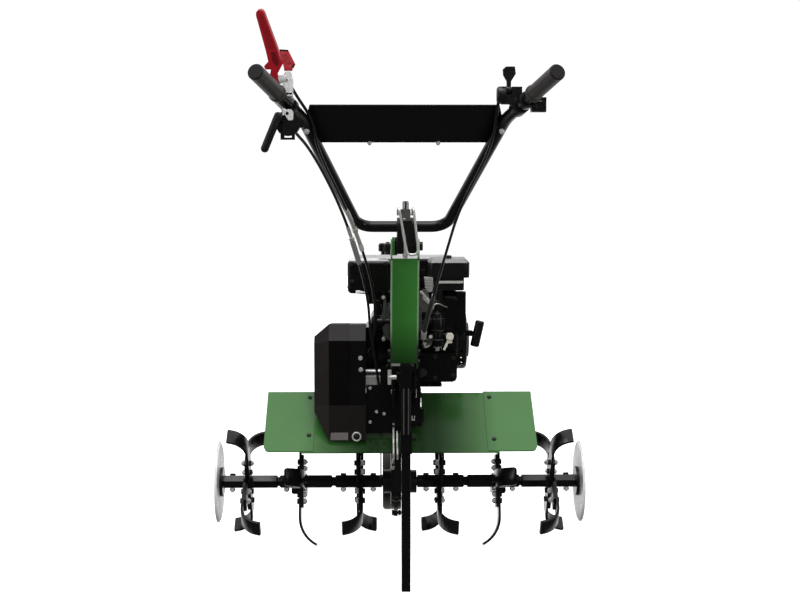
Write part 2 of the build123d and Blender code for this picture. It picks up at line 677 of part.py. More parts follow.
COL_FOOT = (-200.0, 507.0)
COL_TOP = (-300.0, 767.0)
COL_W = 68.0
cd = Vector(0, COL_TOP[0] - COL_FOOT[0], COL_TOP[1] - COL_FOOT[1])
COL_LEN = cd.length
COL_Y = cd.normalized()
COL_N = Vector(1, 0, 0).cross(COL_Y)            # points to the rear, out of the web
COL_PLANE = Plane(origin=V(SX, *COL_FOOT), x_dir=(1, 0, 0), z_dir=COL_N)


def col_point(s, n):
    """(y, z) of the point at s along the column and n behind its rear face."""
    return (COL_FOOT[0] + COL_Y.Y * s + COL_N.Y * n, COL_FOOT[1] + COL_Y.Z * s + COL_N.Z * n)


EAR = [col_point(-18, 0), col_point(COL_LEN - 4, 0), col_point(COL_LEN + 10, 12),
       col_point(COL_LEN + 32, 14), col_point(COL_LEN + 45, 4), col_point(COL_LEN + 45, -14),
       col_point(COL_LEN + 16, -52), col_point(0, -52), col_point(-36, -50), col_point(-36, -24)]
with BuildPart() as handlebar_column:
    with BuildSketch(COL_PLANE):
        with Locations((0, COL_LEN / 2 - 2)):
            Rectangle(COL_W, COL_LEN + 4)
    extrude(amount=-4.0)
    for x0, x1 in ((SX - 34.0, SX - 30.0), (SX + 30.0, SX + 34.0)):
        slab(x0, x1, EAR)
    for s in (-1, 1):
        toothed(SX + min(25.2 * s, 31 * s), SX + max(25.2 * s, 31 * s), TILT[0], TILT[1], star(30, 21.5, 19.6))
    bar_x(SX - 36.0, SX + 36.0, TILT[0], TILT[1], 6.2, Mode.SUBTRACT)
    for s, n in ((6.0, -36.0), (-26.0, -42.0)):
        y, z = col_point(s, n)
        bar_x(SX - 36.0, SX + 36.0, y, z, 5.2, Mode.SUBTRACT)
handlebar_column.part.label = "handlebar_column"
export_step(handlebar_column.part, "parts/handlebar_column.step")

with BuildPart() as rear_bracket:
    block(-50.0, 50.0, -135.0, -128.0, 376.0, 486.0)
    block(-86.0, -48.0, -135.0, -131.0, 318.0, 440.0)
    block(-49.0, 26.0, -135.0, -131.0, 318.0, 380.0)
    block(24.0, 58.0, -135.0, -131.0, 345.0, 380.0)
    for x0, x1 in ((SX - 30.0, SX - 24.0), (SX + 24.0, SX + 30.0)):
        slab(x0, x1, [(-132, 382), (-132, 486), (-146, 508), (-176, 524), (-194, 508), (-196, 470),
                      (-176, 430)])
    block(SX - 13.0, SX + 13.0, STAKE_Y + 11.0, -132.0, 438.0, 486.0)
    block(SX - 27.0, SX + 27.0, -188.0, -132.0, 480.0, 486.0)
    block(SX - 13.4, SX + 13.4, STAKE_Y + 11.0, STAKE_Y + 17.0, 326.0, 534.0)
    for z0, z1 in ((326.0, 378.0), (472.0, 534.0)):
        block(SX - 13.4, SX + 13.4, STAKE_Y - 13.4, STAKE_Y + 12.0, z0, z1)
    block(SX - 10.9, SX + 10.9, STAKE_Y - 10.9, STAKE_Y + 10.9, 320.0, 540.0, Mode.SUBTRACT)
    block(SX - 22.0, SX - 12.0, STAKE_Y - 9.0, STAKE_Y + 9.0, 492.0, 514.0)
    bar_x(SX - 24.0, SX - 10.0, STAKE_Y, 503.0, 5.06, Mode.SUBTRACT)
    for s, n in ((6.0, -36.0), (-26.0, -42.0)):
        y, z = col_point(s, n)
        bar_x(SX - 36.0, SX + 36.0, y, z, 5.2, Mode.SUBTRACT)
    rod(V(SX, -330, 430), V(SX, -330, 495), 8.0, Mode.SUBTRACT)
rear_bracket.part.label = "rear_bracket"
export_step(rear_bracket.part, "parts/rear_bracket.step")

GUARD = [(-175, 277), (5, 397), (172, 344)]


def guard_profile(lift):
    return [(y, z + lift) for y, z in GUARD] + [(y, z + lift - 3.0) for y, z in reversed(GUARD)]


with BuildPart() as guard_right:
    slab(12.0, 246.0, guard_profile(0.0))
    block(11.0, 56.0, -92.0, 180.0, 300.0, 420.0, Mode.SUBTRACT)
    block(48.0, 58.5, -45.0, 30.0, 352.0, 356.0)
    slab(56.0, 58.5, [(-45, 354), (30, 354), (30, 387.6), (5, 395.6), (-45, 362.2)])
with BuildPart() as guard_left:
    slab(-246.0, 4.0, guard_profile(0.0))
    block(-56.0, 5.0, -50.0, 180.0, 300.0, 420.0, Mode.SUBTRACT)
    block(-30.5, 5.0, -102.0, -49.0, 300.0, 420.0, Mode.SUBTRACT)
    block(-58.5, -48.0, -45.0, 30.0, 352.0, 356.0)
    slab(-58.5, -56.0, [(-45, 354), (30, 354), (30, 387.6), (5, 395.6), (-45, 362.2)])
with BuildPart() as wing_right:
    slab(210.0, 350.0, guard_profile(3.2))
    with BuildSketch(top(200.0)):
        with BuildLine():
            Polyline([(217.3, -174.3), (328.0, -174.3), (336.0, -171.5), (341.7, -160.0),
                      (341.7, 157.0), (336.0, 168.5), (328.0, 171.3), (217.3, 171.3)], close=True)
        make_face()
    extrude(amount=300.0, mode=Mode.INTERSECT)
with BuildPart() as mud_guards:
    add(guard_right.part)
    add(guard_left.part)
    add(wing_right.part)
    mirror(wing_right.part, about=Plane.YZ)
mud_guards.part.label = "mud_guards"
export_step(mud_guards.part, "parts/mud_guards.step")

# ---------------------------------------------------------------------------
# Engine
# ---------------------------------------------------------------------------
ct = math.radians(CYL_TILT)
CYL = Vector(0, -math.cos(ct), math.sin(ct))
CYL_UP = Vector(0, math.sin(ct), math.cos(ct))


def cyl_plane(d):
    return Plane(origin=V(CYL_X, *CRANK) + CYL * d, x_dir=(1, 0, 0), z_dir=CYL)


def cyl_block(d0, d1, w, h, r, mode=Mode.ADD):
    with BuildSketch(cyl_plane(d0)) as s:
        RectangleRounded(w, h, r)
    extrude(s.sketch, amount=d1 - d0, mode=mode)


with BuildPart() as engine_block:
    with BuildSketch(top(BASE_Z)):
        with Locations(((-75 + 110) / 2, (55 + 222) / 2)):
            RectangleRounded(185, 167, 20)
    extrude(amount=182.0)
    fillet(engine_block.faces().sort_by(Axis.Z)[-1].edges(), 16.0)
    block(-75.0, 110.0, 48.0, 232.0, BASE_Z, BASE_Z + 10.0)
    block(-86.7, -70.0, 62.0, 200.0, 446.0, 562.0)
    cyl_block(55.0, 118.0, 84.0, 84.0, 30.0)
    for k in range(4):
        cyl_block(84.0 + 8.0 * k, 87.0 + 8.0 * k, 108.0, 104.0, 14.0)
    bar_x(-58.0, 92.0, CRANK[0], CRANK[1], 54.0, Mode.SUBTRACT)
    bar_x(-90.0, 115.0, CRANK[0], CRANK[1], 15.05, Mode.SUBTRACT)
    rod(V(CYL_X, *CRANK) + CYL * 20.0, V(CYL_X, *CRANK) + CYL * 119.0, 34.0, Mode.SUBTRACT)
    # rear of the crankcase, reaching in front of the blower housing
    block(54.0, 106.0, 12.0, 60.0, 424.0, 500.0)
    with BuildSketch(back(21.5)):
        with BuildLine():
            Polyline((60, 424), (138, 424), (146, 427), (150, 435), (150, 492), (146, 500), (60, 500),
                     close=True)
        make_face()
    extrude(amount=9.5)
    # oil filler and drain plug
    rod(V(60, 16, 444), V(60, -4, 451), 11.0)
    rod(V(-20, 58, 428), V(-20, 42, 428), 9.0)
engine_block.part.label = "engine_block"
export_step(engine_block.part, "parts/engine_block.step")

with BuildPart() as cylinder_head:
    cyl_block(118.0, 132.0, 96.0, 96.0, 14.0)
    for k in range(4):
        cyl_block(134.0 + 7.0 * k, 137.0 + 7.0 * k, 108.0, 104.0, 14.0)
    cyl_block(130.0, 162.0, 70.0, 76.0, 10.0)
    cyl_block(162.0, 190.0, 82.0, 84.0, 12.0)
    q = V(CYL_X, *CRANK) + CYL * 146.0
    rod(q + Vector(30, 0, 0), q + Vector(62, 0, 0), 14.5)
    rod(q + Vector(-30, 0, 0), q + Vector(-60, 0, 0), 14.5)
    rod(V(CYL_X, *CRANK) + CYL * 117.0, V(CYL_X, *CRANK) + CYL * 124.0, 34.0, Mode.SUBTRACT)
    rod(q - CYL_UP * 34, q - CYL_UP * 60, 7.05, Mode.SUBTRACT)
cylinder_head.part.label = "cylinder_head"
export_step(cylinder_head.part, "parts/cylinder_head.step")

with BuildPart() as spark_plug:
    q = V(CYL_X, *CRANK) + CYL * 146.0 - CYL_UP * 36
    rod(q, q - CYL_UP * 20, 7.0)
    hexbar(q - CYL_UP * 17, q - CYL_UP * 26, 16.0)
    rod(q - CYL_UP * 24, q - CYL_UP * 52, 9.5)
    rod(q - CYL_UP * 46, q - CYL_UP * 46 + Vector(34, -6, 0), 5.0)
spark_plug.part.label = "spark_plug"
export_step(spark_plug.part, "parts/spark_plug.step")

FAN = [(CRANK[0], CRANK[1], 105.0), (46.0, 636.0, 24.0), (100.0, 636.0, 24.0)]
with BuildPart() as fan_cover:
    hull_x(110.2, 152.0, FAN)
    fillet(fan_cover.faces().sort_by(Axis.X)[-1].edges(), 8.0)
    hull_x(109.0, 147.5, grow(FAN, -2.5), Mode.SUBTRACT)
    bar_x(146.0, 160.0, CRANK[0], CRANK[1], 66.0, Mode.SUBTRACT)
    block(148.0, 173.0, 24.0, 55.0, 552.0, 659.0)
fan_cover.part.label = "fan_cover"
export_step(fan_cover.part, "parts/fan_cover.step")

with BuildPart() as recoil_cover:
    bar_x(152.2, 180.0, CRANK[0], CRANK[1], 78.0)
    fillet(recoil_cover.faces().sort_by(Axis.X)[-1].edges(), 9.0)
    bar_x(179.0, 186.0, CRANK[0], CRANK[1], 46.0)
    bar_x(151.0, 170.0, CRANK[0], CRANK[1], 75.0, Mode.SUBTRACT)
    bar_x(169.0, 177.0, CRANK[0], CRANK[1], 66.0, Mode.SUBTRACT)
    with BuildSketch(side(174.0, *CRANK)):
        with PolarLocations(61.0, 14, start_angle=8.0):
            SlotOverall(20.0, 7.0)
    extrude(amount=10.0, mode=Mode.SUBTRACT)
    for a in range(-165, -14, 15):
        u = Vector(0, math.cos(math.radians(a)), math.sin(math.radians(a)))
        rod(V(164, *CRANK) + u * 70, V(164, *CRANK) + u * 82, 4.0, Mode.SUBTRACT)
    for x, z in ((156.5, 447), (161.5, 453), (166.5, 448), (166.5, 458), (171.5, 454), (171.5, 464)):
        rod(V(x, -10, z), V(x, 260, z), 2.3, Mode.SUBTRACT)
    rod(V(176, 74, 546), V(190, 60, 546), 8.0)
    rod(V(172, 78, 546), V(192, 58, 546), 4.5, Mode.SUBTRACT)
recoil_cover.part.label = "recoil_cover"
export_step(recoil_cover.part, "parts/recoil_cover.step")

with BuildPart() as recoil_handle:
    rod(V(212, 45, 581), V(197, 45, 513), 12.0)
    fillet(recoil_handle.edges(), 5.0)
    rod(V(179, 71, 546), V(203, 47, 546), 3.0)
    rod(V(194.5, 55.5, 546), V(203, 47, 546), 6.5)
recoil_handle.part.label = "recoil_handle"
export_step(recoil_handle.part, "parts/recoil_handle.step")

with BuildPart() as crankshaft:
    bar_x(-186.0, -74.0, CRANK[0], CRANK[1], 10.0)
    bar_x(-76.0, -20.0, CRANK[0], CRANK[1], 15.0)
    bar_x(50.0, 118.0, CRANK[0], CRANK[1], 15.0)
    bar_x(110.0, 152.0, CRANK[0], CRANK[1], 11.0)
    for x0, x1 in ((-22.0, -6.0), (36.0, 52.0)):
        hull_x(x0, x1, [(CRANK[0], CRANK[1], 22.0), (CRANK[0] + 14, CRANK[1] + 24, 20.0),
                        (CRANK[0] - 10, CRANK[1] - 17, 28.0)])
    bar_x(-8.0, 38.0, CRANK[0] + 14, CRANK[1] + 24, 13.0)
crankshaft.part.label = "crankshaft"
export_step(crankshaft.part, "parts/crankshaft.step")

with BuildPart() as flywheel:
    ring_x(118.2, 132.0, CRANK[0], CRANK[1], 90.0, 11.0)
    ring_x(118.2, 146.0, CRANK[0], CRANK[1], 26.0, 11.0)
    for k in range(16):
        a = math.radians(22.5 * k)
        u = Vector(0, math.cos(a), math.sin(a))
        w = Vector(0, -math.sin(a), math.cos(a))
        with BuildSketch(Plane(origin=V(131.0, *CRANK) + u * 68, x_dir=u, z_dir=(1, 0, 0))) as fin:
            Rectangle(36, 3)
        extrude(fin.sketch, amount=15.0)
flywheel.part.label = "flywheel"
export_step(flywheel.part, "parts/flywheel.step")

with BuildPart() as fuel_tank:
    with BuildSketch(top(642.0)):
        with Locations((15, 208)):
            RectangleRounded(272, 156, 34)
    extrude(amount=106.0)
    fillet(fuel_tank.faces().sort_by(Axis.Z)[-1].edges(), 20.0)
    fillet(fuel_tank.faces().sort_by(Axis.Z)[0].edges(), 12.0)
    with BuildSketch(top(648.0)):
        with Locations((15, 208)):
            RectangleRounded(250, 134, 26)
    extrude(amount=92.0, mode=Mode.SUBTRACT)
    rod(V(-26, 206, 744), V(-26, 206, 753), 22.0)
    rod(V(-26, 206, 740), V(-26, 206, 760), 19.0, Mode.SUBTRACT)
    block(-50, -20, 160, 195, 596.2, 644)
    block(60, 90, 160, 195, 596.2, 644)
fuel_tank.part.label = "fuel_tank"
export_step(fuel_tank.part, "parts/fuel_tank.step")

with BuildPart() as fuel_cap:
    rod(V(-26, 206, 753.4), V(-26, 206, 776), 27.0)
    fillet(fuel_cap.faces().sort_by(Axis.Z)[-1].edges(), 4.0)
    rod(V(-26, 206, 746), V(-26, 206, 754), 18.6)
fuel_cap.part.label = "fuel_cap"
export_step(fuel_cap.part, "parts/fuel_cap.step")

with BuildPart() as muffler:
    with Locations(V(-79.5, 28, 701)):
        Box(109, 96, 86)
    fillet(muffler.edges(), 11.0)
    with Locations(V(-79.5, 28, 701)):
        Box(96, 83, 73, mode=Mode.SUBTRACT)
    block(-82.0, -42.0, -2.0, 44.0, 630.0, 660.0)
    rod(V(-70, -24, 676), V(-70, -10, 676), 7.0)
    rod(V(-70, -25, 676), V(-70, -8, 676), 5.0, Mode.SUBTRACT)
    rod(V(-58, 3, 640), V(-58, 3, 592), 10.0)
    rod(V(-58, 2.7, 581.7), V(-46, 2.7, 581.7), 15.0)
    block(-68.0, -48.0, -7.0, 13.0, 575.0, 600.0)
muffler.part.label = "muffler"
export_step(muffler.part, "parts/muffler.step")

with BuildPart() as carburetor:
    block(84.0, 112.0, -12.0, 18.0, 566.0, 620.0)
    rod(V(98, 3, 520), V(98, 3, 568), 17.0)
    rod(V(77.2, 2.7, 581.7), V(86, 2.7, 581.7), 15.0)
    block(111.0, 119.0, -6.0, 17.0, 584.0, 610.0)
    rod(V(104, 2, 548), V(126, 2, 548), 6.0)
    block(122.0, 136.0, -5.0, 6.0, 528.0, 554.0)
carburetor.part.label = "carburetor"
export_step(carburetor.part, "parts/carburetor.step")

with BuildPart() as air_cleaner_base:
    with BuildSketch(top(664.0)):
        with Locations((124, 58)):
            RectangleRounded(88, 100, 14)
    extrude(amount=33.0)
    rod(V(98, 4, 620), V(98, 4, 640), 13.0)
    block(86.0, 110.0, -8.0, 40.0, 638.0, 666.0)
    block(116.0, 140.0, 40.0, 62.0, 660.4, 666.0)
air_cleaner_base.part.label = "air_cleaner_base"
export_step(air_cleaner_base.part, "parts/air_cleaner_base.step")

with BuildPart() as air_cleaner_cover:
    with BuildSketch(top(697.2)):
        with Locations((128, 57)):
            RectangleRounded(106, 114, 14)
    extrude(amount=48.0)
    chamfer(air_cleaner_cover.faces().sort_by(Axis.Z)[-1].edges(), 9.0)
    with BuildSketch(top(697.0)):
        with Locations((128, 57)):
            RectangleRounded(100, 108, 11)
    extrude(amount=36.0, mode=Mode.SUBTRACT)
    rod(V(128, 57, 744), V(128, 57, 752), 9.0)
air_cleaner_cover.part.label = "air_cleaner_cover"
export_step(air_cleaner_cover.part, "parts/air_cleaner_cover.step")

# ---------------------------------------------------------------------------
# Front wheel, depth stake
# ---------------------------------------------------------------------------
with BuildPart() as wheel_arm:
    for x0, x1 in ((WHEEL_X - 22.0, WHEEL_X - 18.0), (WHEEL_X + 18.0, WHEEL_X + 22.0)):
        hull_x(x0, x1, [(WHEEL[0], WHEEL[1], 13.0), (ARM_TOP[0], ARM_TOP[1], 14.0)])
    bar_x(WHEEL_X - 27.0, WHEEL_X + 27.0, WHEEL[0], WHEEL[1], 6.0)
    hexbar(V(WHEEL_X - 31, *WHEEL), V(WHEEL_X - 22, *WHEEL), 18.0)
    hexbar(V(WHEEL_X + 22, *WHEEL), V(WHEEL_X + 31, *WHEEL), 18.0)
    bar_x(WHEEL_X - 32.0, WHEEL_X + 32.0, ARM_TOP[0], ARM_TOP[1], 6.0)
    bar_x(WHEEL_X - 19.0, WHEEL_X + 19.0, ARM_TOP[0], ARM_TOP[1], 10.0)
    for s in (-1, 1):
        a, b = sorted((WHEEL_X + s * 28.4, WHEEL_X + s * 36.0))
        hexbar(V(a, *ARM_TOP), V(b, *ARM_TOP), 17.0)
wheel_arm.part.label = "wheel_arm"
export_step(wheel_arm.part, "parts/wheel_arm.step")

with BuildPart() as front_wheel:
    bar_x(WHEEL_X - 15.0, WHEEL_X + 15.0, WHEEL[0], WHEEL[1], 82.5)
    fillet(front_wheel.edges(), 9.0)
    for s in (-1, 1):
        a, b = sorted((WHEEL_X + s * 6.0, WHEEL_X + s * 16.0))
        ring_x(a, b, WHEEL[0], WHEEL[1], 56.0, 17.0, Mode.SUBTRACT)
    bar_x(WHEEL_X - 17.0, WHEEL_X + 17.0, WHEEL[0], WHEEL[1], 16.0)
    bar_x(WHEEL_X - 20.0, WHEEL_X + 20.0, WHEEL[0], WHEEL[1], 6.06, Mode.SUBTRACT)
front_wheel.part.label = "front_wheel"
export_step(front_wheel.part, "parts/front_wheel.step")

with BuildPart() as depth_stake:
    block(SX - STAKE / 2, SX + STAKE / 2, STAKE_Y - STAKE / 2, STAKE_Y + STAKE / 2, 0.0, 530.0)
    chamfer(depth_stake.edges().filter_by(Axis.Z), 1.5)
    for z in (60.0, 105.0, 150.0, 195.0, 240.0, 285.0):
        bar_x(SX - 20.0, SX + 20.0, STAKE_Y, z, 5.5, Mode.SUBTRACT)
depth_stake.part.label = "depth_stake"
export_step(depth_stake.part, "parts/depth_stake.step")

with BuildPart() as stake_screw:
    bar_x(SX - 40.0, SX - 10.9, STAKE_Y, 503.0, 5.0)
    rod(V(SX - 38, STAKE_Y, 486), V(SX - 38, STAKE_Y, 520), 4.0)
stake_screw.part.label = "stake_screw"
export_step(stake_screw.part, "parts/stake_screw.step")

# ---------------------------------------------------------------------------
# Handlebar
# ---------------------------------------------------------------------------
def arm_point(s, sign):
    """Point on the arm's centre line, s along it from the corner of the cross bar."""
    d = Vector(BEND[0] - CORNER_X, BEND[1] - CROSS[0], BEND[2] - CROSS[1])
    u = d.normalized()
    p = Vector(CORNER_X, CROSS[0], CROSS[1]) + u * s
    return V(sign * p.X, p.Y, p.Z)


def grip_point(t, sign):
    """Point on the handle's centre line: 0 at the bend, 1 at its end."""
    p = [BEND[k] + (GRIP_END[k] - BEND[k]) * t for k in range(3)]
    return V(sign * p[0], p[1], p[2])


ARM_LEN = math.dist((CORNER_X, *CROSS), BEND)
HALF_PATH = [V(0, *CROSS), V(CORNER_X, *CROSS), V(*BEND), V(*GRIP_END)]
with BuildPart() as half_bar:
    with BuildLine() as half_line:
        FilletPolyline(*HALF_PATH, radius=[46.0, 150.0])
    with BuildSketch(Plane(origin=V(0, *CROSS), z_dir=(1, 0, 0))):
        Circle(TUBE_R)
        Circle(TUBE_R - 2.0, mode=Mode.SUBTRACT)
    sweep(path=half_line.line)
with BuildPart() as handlebar_tube:
    add(half_bar.part)
    mirror(half_bar.part, about=Plane.YZ)
handlebar_tube.part.label = "handlebar_tube"
export_step(handlebar_tube.part, "parts/handlebar_tube.step")

GRIP_DIR = (grip_point(1, 1) - grip_point(0, 1)).normalized()
with BuildPart() as grip_right:
    p, q = grip_point(0.56, 1), grip_point(1.0, 1) + GRIP_DIR * 5.3
    rod(p, q, 16.6)
    fillet(grip_right.edges(), 3.0)
    rod(p, p + GRIP_DIR * 5.0, 18.5)
    rod(p - GRIP_DIR * 5.0, grip_point(1.0, 1) + GRIP_DIR * 1.0, TUBE_R + 0.05, Mode.SUBTRACT)
with BuildPart() as handle_grips:
    add(grip_right.part)
    mirror(grip_right.part, about=Plane.YZ)
handle_grips.part.label = "handle_grips"
export_step(handle_grips.part, "parts/handle_grips.step")

ARM_Y = Vector(0, BEND[1] - CROSS[0], BEND[2] - CROSS[1]).normalized()
ARM_N = Vector(1, 0, 0).cross(ARM_Y)            # out of the arms' plane, to the rear and down
ARM_RUN = math.hypot(BEND[1] - CROSS[0], BEND[2] - CROSS[1])
with BuildPart() as control_panel:
    with BuildSketch(Plane(origin=V(0, *CROSS) - ARM_N * (TUBE_R + 0.2), x_dir=(1, 0, 0),
                           z_dir=ARM_N)):
        with BuildLine():
            Polyline((-188, 284), (188, 284), (207, 366), (199, 404), (-199, 404), (-207, 366),
                     close=True)
        make_face()
    extrude(amount=-2.5)
control_panel.part.label = "control_panel"
export_step(control_panel.part, "parts/control_panel.step")

with BuildPart() as handlebar_clamp:
    hull_x(SX - 20.0, SX + 20.0, [(TILT[0], TILT[1], 19.0), (CROSS[0], CROSS[1], 21.0)])
    fillet(handlebar_clamp.faces().filter_by(Axis.X).edges(), 2.0)
    for s in (-1, 1):
        toothed(SX + min(19 * s, 24.8 * s), SX + max(19 * s, 24.8 * s), TILT[0], TILT[1],
                star(30, 21.5, 19.6))
    block(SX - 11.0, SX + 11.0, -376.0, -334.0, 862.0, 886.0)
    block(SX - 6.0, SX + 6.0, -362.0, -358.0, 884.0, 905.0)
    bar_x(-60.0, 60.0, CROSS[0], CROSS[1], TUBE_R, Mode.SUBTRACT)
    bar_x(-60.0, 60.0, TILT[0], TILT[1], 6.05, Mode.SUBTRACT)
handlebar_clamp.part.label = "handlebar_clamp"
export_step(handlebar_clamp.part, "parts/handlebar_clamp.step")

BAIL = (-368.0, 876.0)
with BuildPart() as clamp_lever:
    wire_rod([V(SX - 18, -366, 874), V(SX - 18, -392, 904), V(SX + 3, -392, 783),
              V(SX + 30, -392, 783), V(SX + 16, -392, 904), V(SX + 16, -366, 874)],
             [9.0, 11.0, 11.0, 9.0], 3.0)
    bar_x(SX - 20.0, SX - 11.4, BAIL[0], BAIL[1], 3.5)
    bar_x(SX + 11.4, SX + 18.0, BAIL[0], BAIL[1], 3.5)
clamp_lever.part.label = "clamp_lever"
export_step(clamp_lever.part, "parts/clamp_lever.step")

# left-hand controls
GRIP_L = (grip_point(1, -1) - grip_point(0, -1)).normalized()
BRACKET = grip_point(0.41, -1)
LEVER_PIVOT = V(-262, -738, 1160)
LEVER_TIP = V(-301, -800, 1292)
LEVER_DIR = (LEVER_TIP - LEVER_PIVOT).normalized()
LEVER_AXIS = GRIP_L.cross(LEVER_DIR).normalized()
LEVER_LEN = (LEVER_TIP - LEVER_PIVOT).length
REV_PIVOT = V(-252, -742, 1086)
REV_TIP = V(-283, -778, 1022)

with BuildPart() as lever_bracket:
    rod(BRACKET - GRIP_L * 15, BRACKET + GRIP_L * 15, 18.0)
    block(-250.0, -227.0, -748.0, -722.0, 1126.0, 1178.0)
    rod(LEVER_PIVOT - LEVER_AXIS * 24.0, LEVER_PIVOT - LEVER_AXIS * 7.5, 9.0)
    rod(LEVER_PIVOT - LEVER_AXIS * 21.0, LEVER_PIVOT - LEVER_AXIS * 7.0, 4.06, Mode.SUBTRACT)
    block(-243.0, -225.0, -757.0, -736.0, 1112.0, 1128.0)
    block(-243.0, -225.0, -757.0, -749.0, 1090.0, 1128.0)
    rod(BRACKET - GRIP_L * 40, BRACKET + GRIP_L * 40, TUBE_R, Mode.SUBTRACT)
lever_bracket.part.label = "lever_bracket"
export_step(lever_bracket.part, "parts/lever_bracket.step")

with BuildPart() as clutch_lever:
    with BuildSketch(Plane(origin=LEVER_PIVOT, x_dir=LEVER_AXIS, z_dir=LEVER_AXIS.cross(LEVER_DIR))):
        with BuildLine():
            Polyline((-6.5, -9), (9, -9), (10, 10), (2, 26), (13, 28), (14, 35), (2, 43), (0, 66),
                     (-3.5, LEVER_LEN - 9), (-5.5, LEVER_LEN - 3), (-9.5, LEVER_LEN), (-15.5, LEVER_LEN),
                     (-19.5, LEVER_LEN - 3), (-21.5, LEVER_LEN - 9),
                     (-25, 66), (-24, 31), (-6.5, 12), close=True)
        make_face()
    extrude(amount=4.5, both=True)
    rod(LEVER_PIVOT - LEVER_AXIS * 20.0, LEVER_PIVOT + LEVER_AXIS * 22.0, 4.0)
clutch_lever.part.label = "clutch_lever"
export_step(clutch_lever.part, "parts/clutch_lever.step")

LOCK_PIVOT = (-731.0, 1184.0)
with BuildPart() as clutch_lock:
    bar_x(-246.0, -229.0, LOCK_PIVOT[0], LOCK_PIVOT[1], 5.0)
    with BuildSketch(back(-724.0)):
        with BuildLine():
            Polyline((-246, 1184), (-227, 1184), (-223, 1192), (-237, 1220), (-255, 1221),
                     (-252, 1208), close=True)
        make_face()
    extrude(amount=13.0)
clutch_lock.part.label = "clutch_lock"
export_step(clutch_lock.part, "parts/clutch_lock.step")

REV_RING = grip_point(0.29, -1)
with BuildPart() as reverse_housing:
    with BuildSketch(back(-722.2)):
        with Locations((-239, 1073)):
            Circle(25.5)
    extrude(amount=25.8)
    rod(REV_RING - GRIP_L * 7, REV_RING + GRIP_L * 7, 17.0)
    block(-252.0, -226.0, -736.0, -708.0, 1084.0, 1104.0)
    block(-216.0, -207.0, -744.0, -728.0, 1064.0, 1080.0)
    for x0, x1, z0, z1 in ((-254.0, -246.0, 1040.0, 1056.0), (-254.0, -226.0, 1040.0, 1044.5),
                           (-231.0, -225.0, 1040.0, 1056.0)):
        block(x0, x1, -740.0, -731.0, z0, z1)
    rod(BRACKET - GRIP_L * 15.4, BRACKET + GRIP_L * 15.4, 18.4, Mode.SUBTRACT)
    rod(REV_RING - GRIP_L * 40, REV_RING + GRIP_L * 40, TUBE_R, Mode.SUBTRACT)
    block(-275.0, -248.6, -765.0, -729.0, 1056.0, 1108.0, Mode.SUBTRACT)
    rod(REV_PIVOT + Vector(-30, 0, 0), REV_PIVOT + Vector(13, 0, 0), 4.05, Mode.SUBTRACT)
reverse_housing.part.label = "reverse_housing"
export_step(reverse_housing.part, "parts/reverse_housing.step")

REV_DIR = (REV_TIP - REV_PIVOT).normalized()
with BuildPart() as reverse_lever:
    rod(REV_PIVOT + Vector(-12, 0, 0), REV_PIVOT + Vector(12, 0, 0), 4.0)
    rod(REV_PIVOT + Vector(-12, 0, 0), REV_PIVOT + Vector(3, 0, 0), 9.5)
    rod(REV_PIVOT + Vector(-4.5, 0, 0), V(-257, -766, 1087), 6.5)
    rod(V(-257, -766, 1087), REV_TIP, 8.2)
    with Locations(V(-257, -766, 1087)):
        Sphere(8.2)
    with Locations(REV_TIP):
        Sphere(8.2)
reverse_lever.part.label = "reverse_lever"
export_step(reverse_lever.part, "parts/reverse_lever.step")

# right-hand controls
THROTTLE = grip_point(0.28, 1)
GRIP_R = GRIP_DIR
TH_PIVOT = V(212, -706, 1142)
with BuildPart() as throttle_housing:
    rod(THROTTLE - GRIP_R * 12, THROTTLE + GRIP_R * 14, 18.0)
    block(199.0, 240.0, -713.0, -690.0, 1113.0, 1149.0)
    with BuildSketch(side(188.0, -702.0, 1132.0)):
        Circle(18.0)
    extrude(amount=20.0)
    fillet(throttle_housing.edges().group_by(Axis.X)[0], 7.0)
    rod(THROTTLE - GRIP_R * 60, THROTTLE + GRIP_R * 60, TUBE_R, Mode.SUBTRACT)
    block(206.5, 219.5, -726.0, -695.5, 1133.0, 1156.0, Mode.SUBTRACT)
    rod(TH_PIVOT - Vector(14, 0, 0), TH_PIVOT + Vector(14, 0, 0), 3.56, Mode.SUBTRACT)
throttle_housing.part.label = "throttle_housing"
export_step(throttle_housing.part, "parts/throttle_housing.step")

with BuildPart() as throttle_lever:
    rod(TH_PIVOT - Vector(11, 0, 0), TH_PIVOT + Vector(11, 0, 0), 3.5)
    rod(TH_PIVOT - Vector(5, 0, 0), TH_PIVOT + Vector(5, 0, 0), 8.0)
    with BuildSketch(back(-702.0)):
        with BuildLine():
            Polyline((208.5, 1144), (217, 1144), (217.5, 1160), (227, 1175), (225, 1190),
                     (207, 1190), (200, 1184), (201, 1172), (208, 1160), close=True)
        make_face()
    extrude(amount=8.0)
throttle_lever.part.label = "throttle_lever"
export_step(throttle_lever.part, "parts/throttle_lever.step")

SWITCH = grip_point(0.42, 1)
with BuildPart() as stop_switch:
    rod(SWITCH - GRIP_R * 9, SWITCH + GRIP_R * 9, 17.0)
    block(256.0, 286.0, -746.0, -718.0, 1096.0, 1126.0)
    rod(SWITCH - GRIP_R * 60, SWITCH + GRIP_R * 60, TUBE_R, Mode.SUBTRACT)
    block(264.0, 278.0, -748.0, -736.0, 1101.0, 1119.0, Mode.SUBTRACT)
stop_switch.part.label = "stop_switch"
export_step(stop_switch.part, "parts/stop_switch.step")

with BuildPart() as stop_button:
    block(264.4, 277.6, -750.5, -739.6, 1101.4, 1118.6)
    chamfer(stop_button.faces().sort_by(Axis.Y)[0].edges(), 1.5)
stop_button.part.label = "stop_button"
export_step(stop_button.part, "parts/stop_button.step")

# ---------------------------------------------------------------------------
# Cables, held along the arms and down to the drive
# ---------------------------------------------------------------------------
def under_arm(along, out, x, sign):
    return arm_point(along, sign) + ARM_N * out + Vector(x, 0, 0)


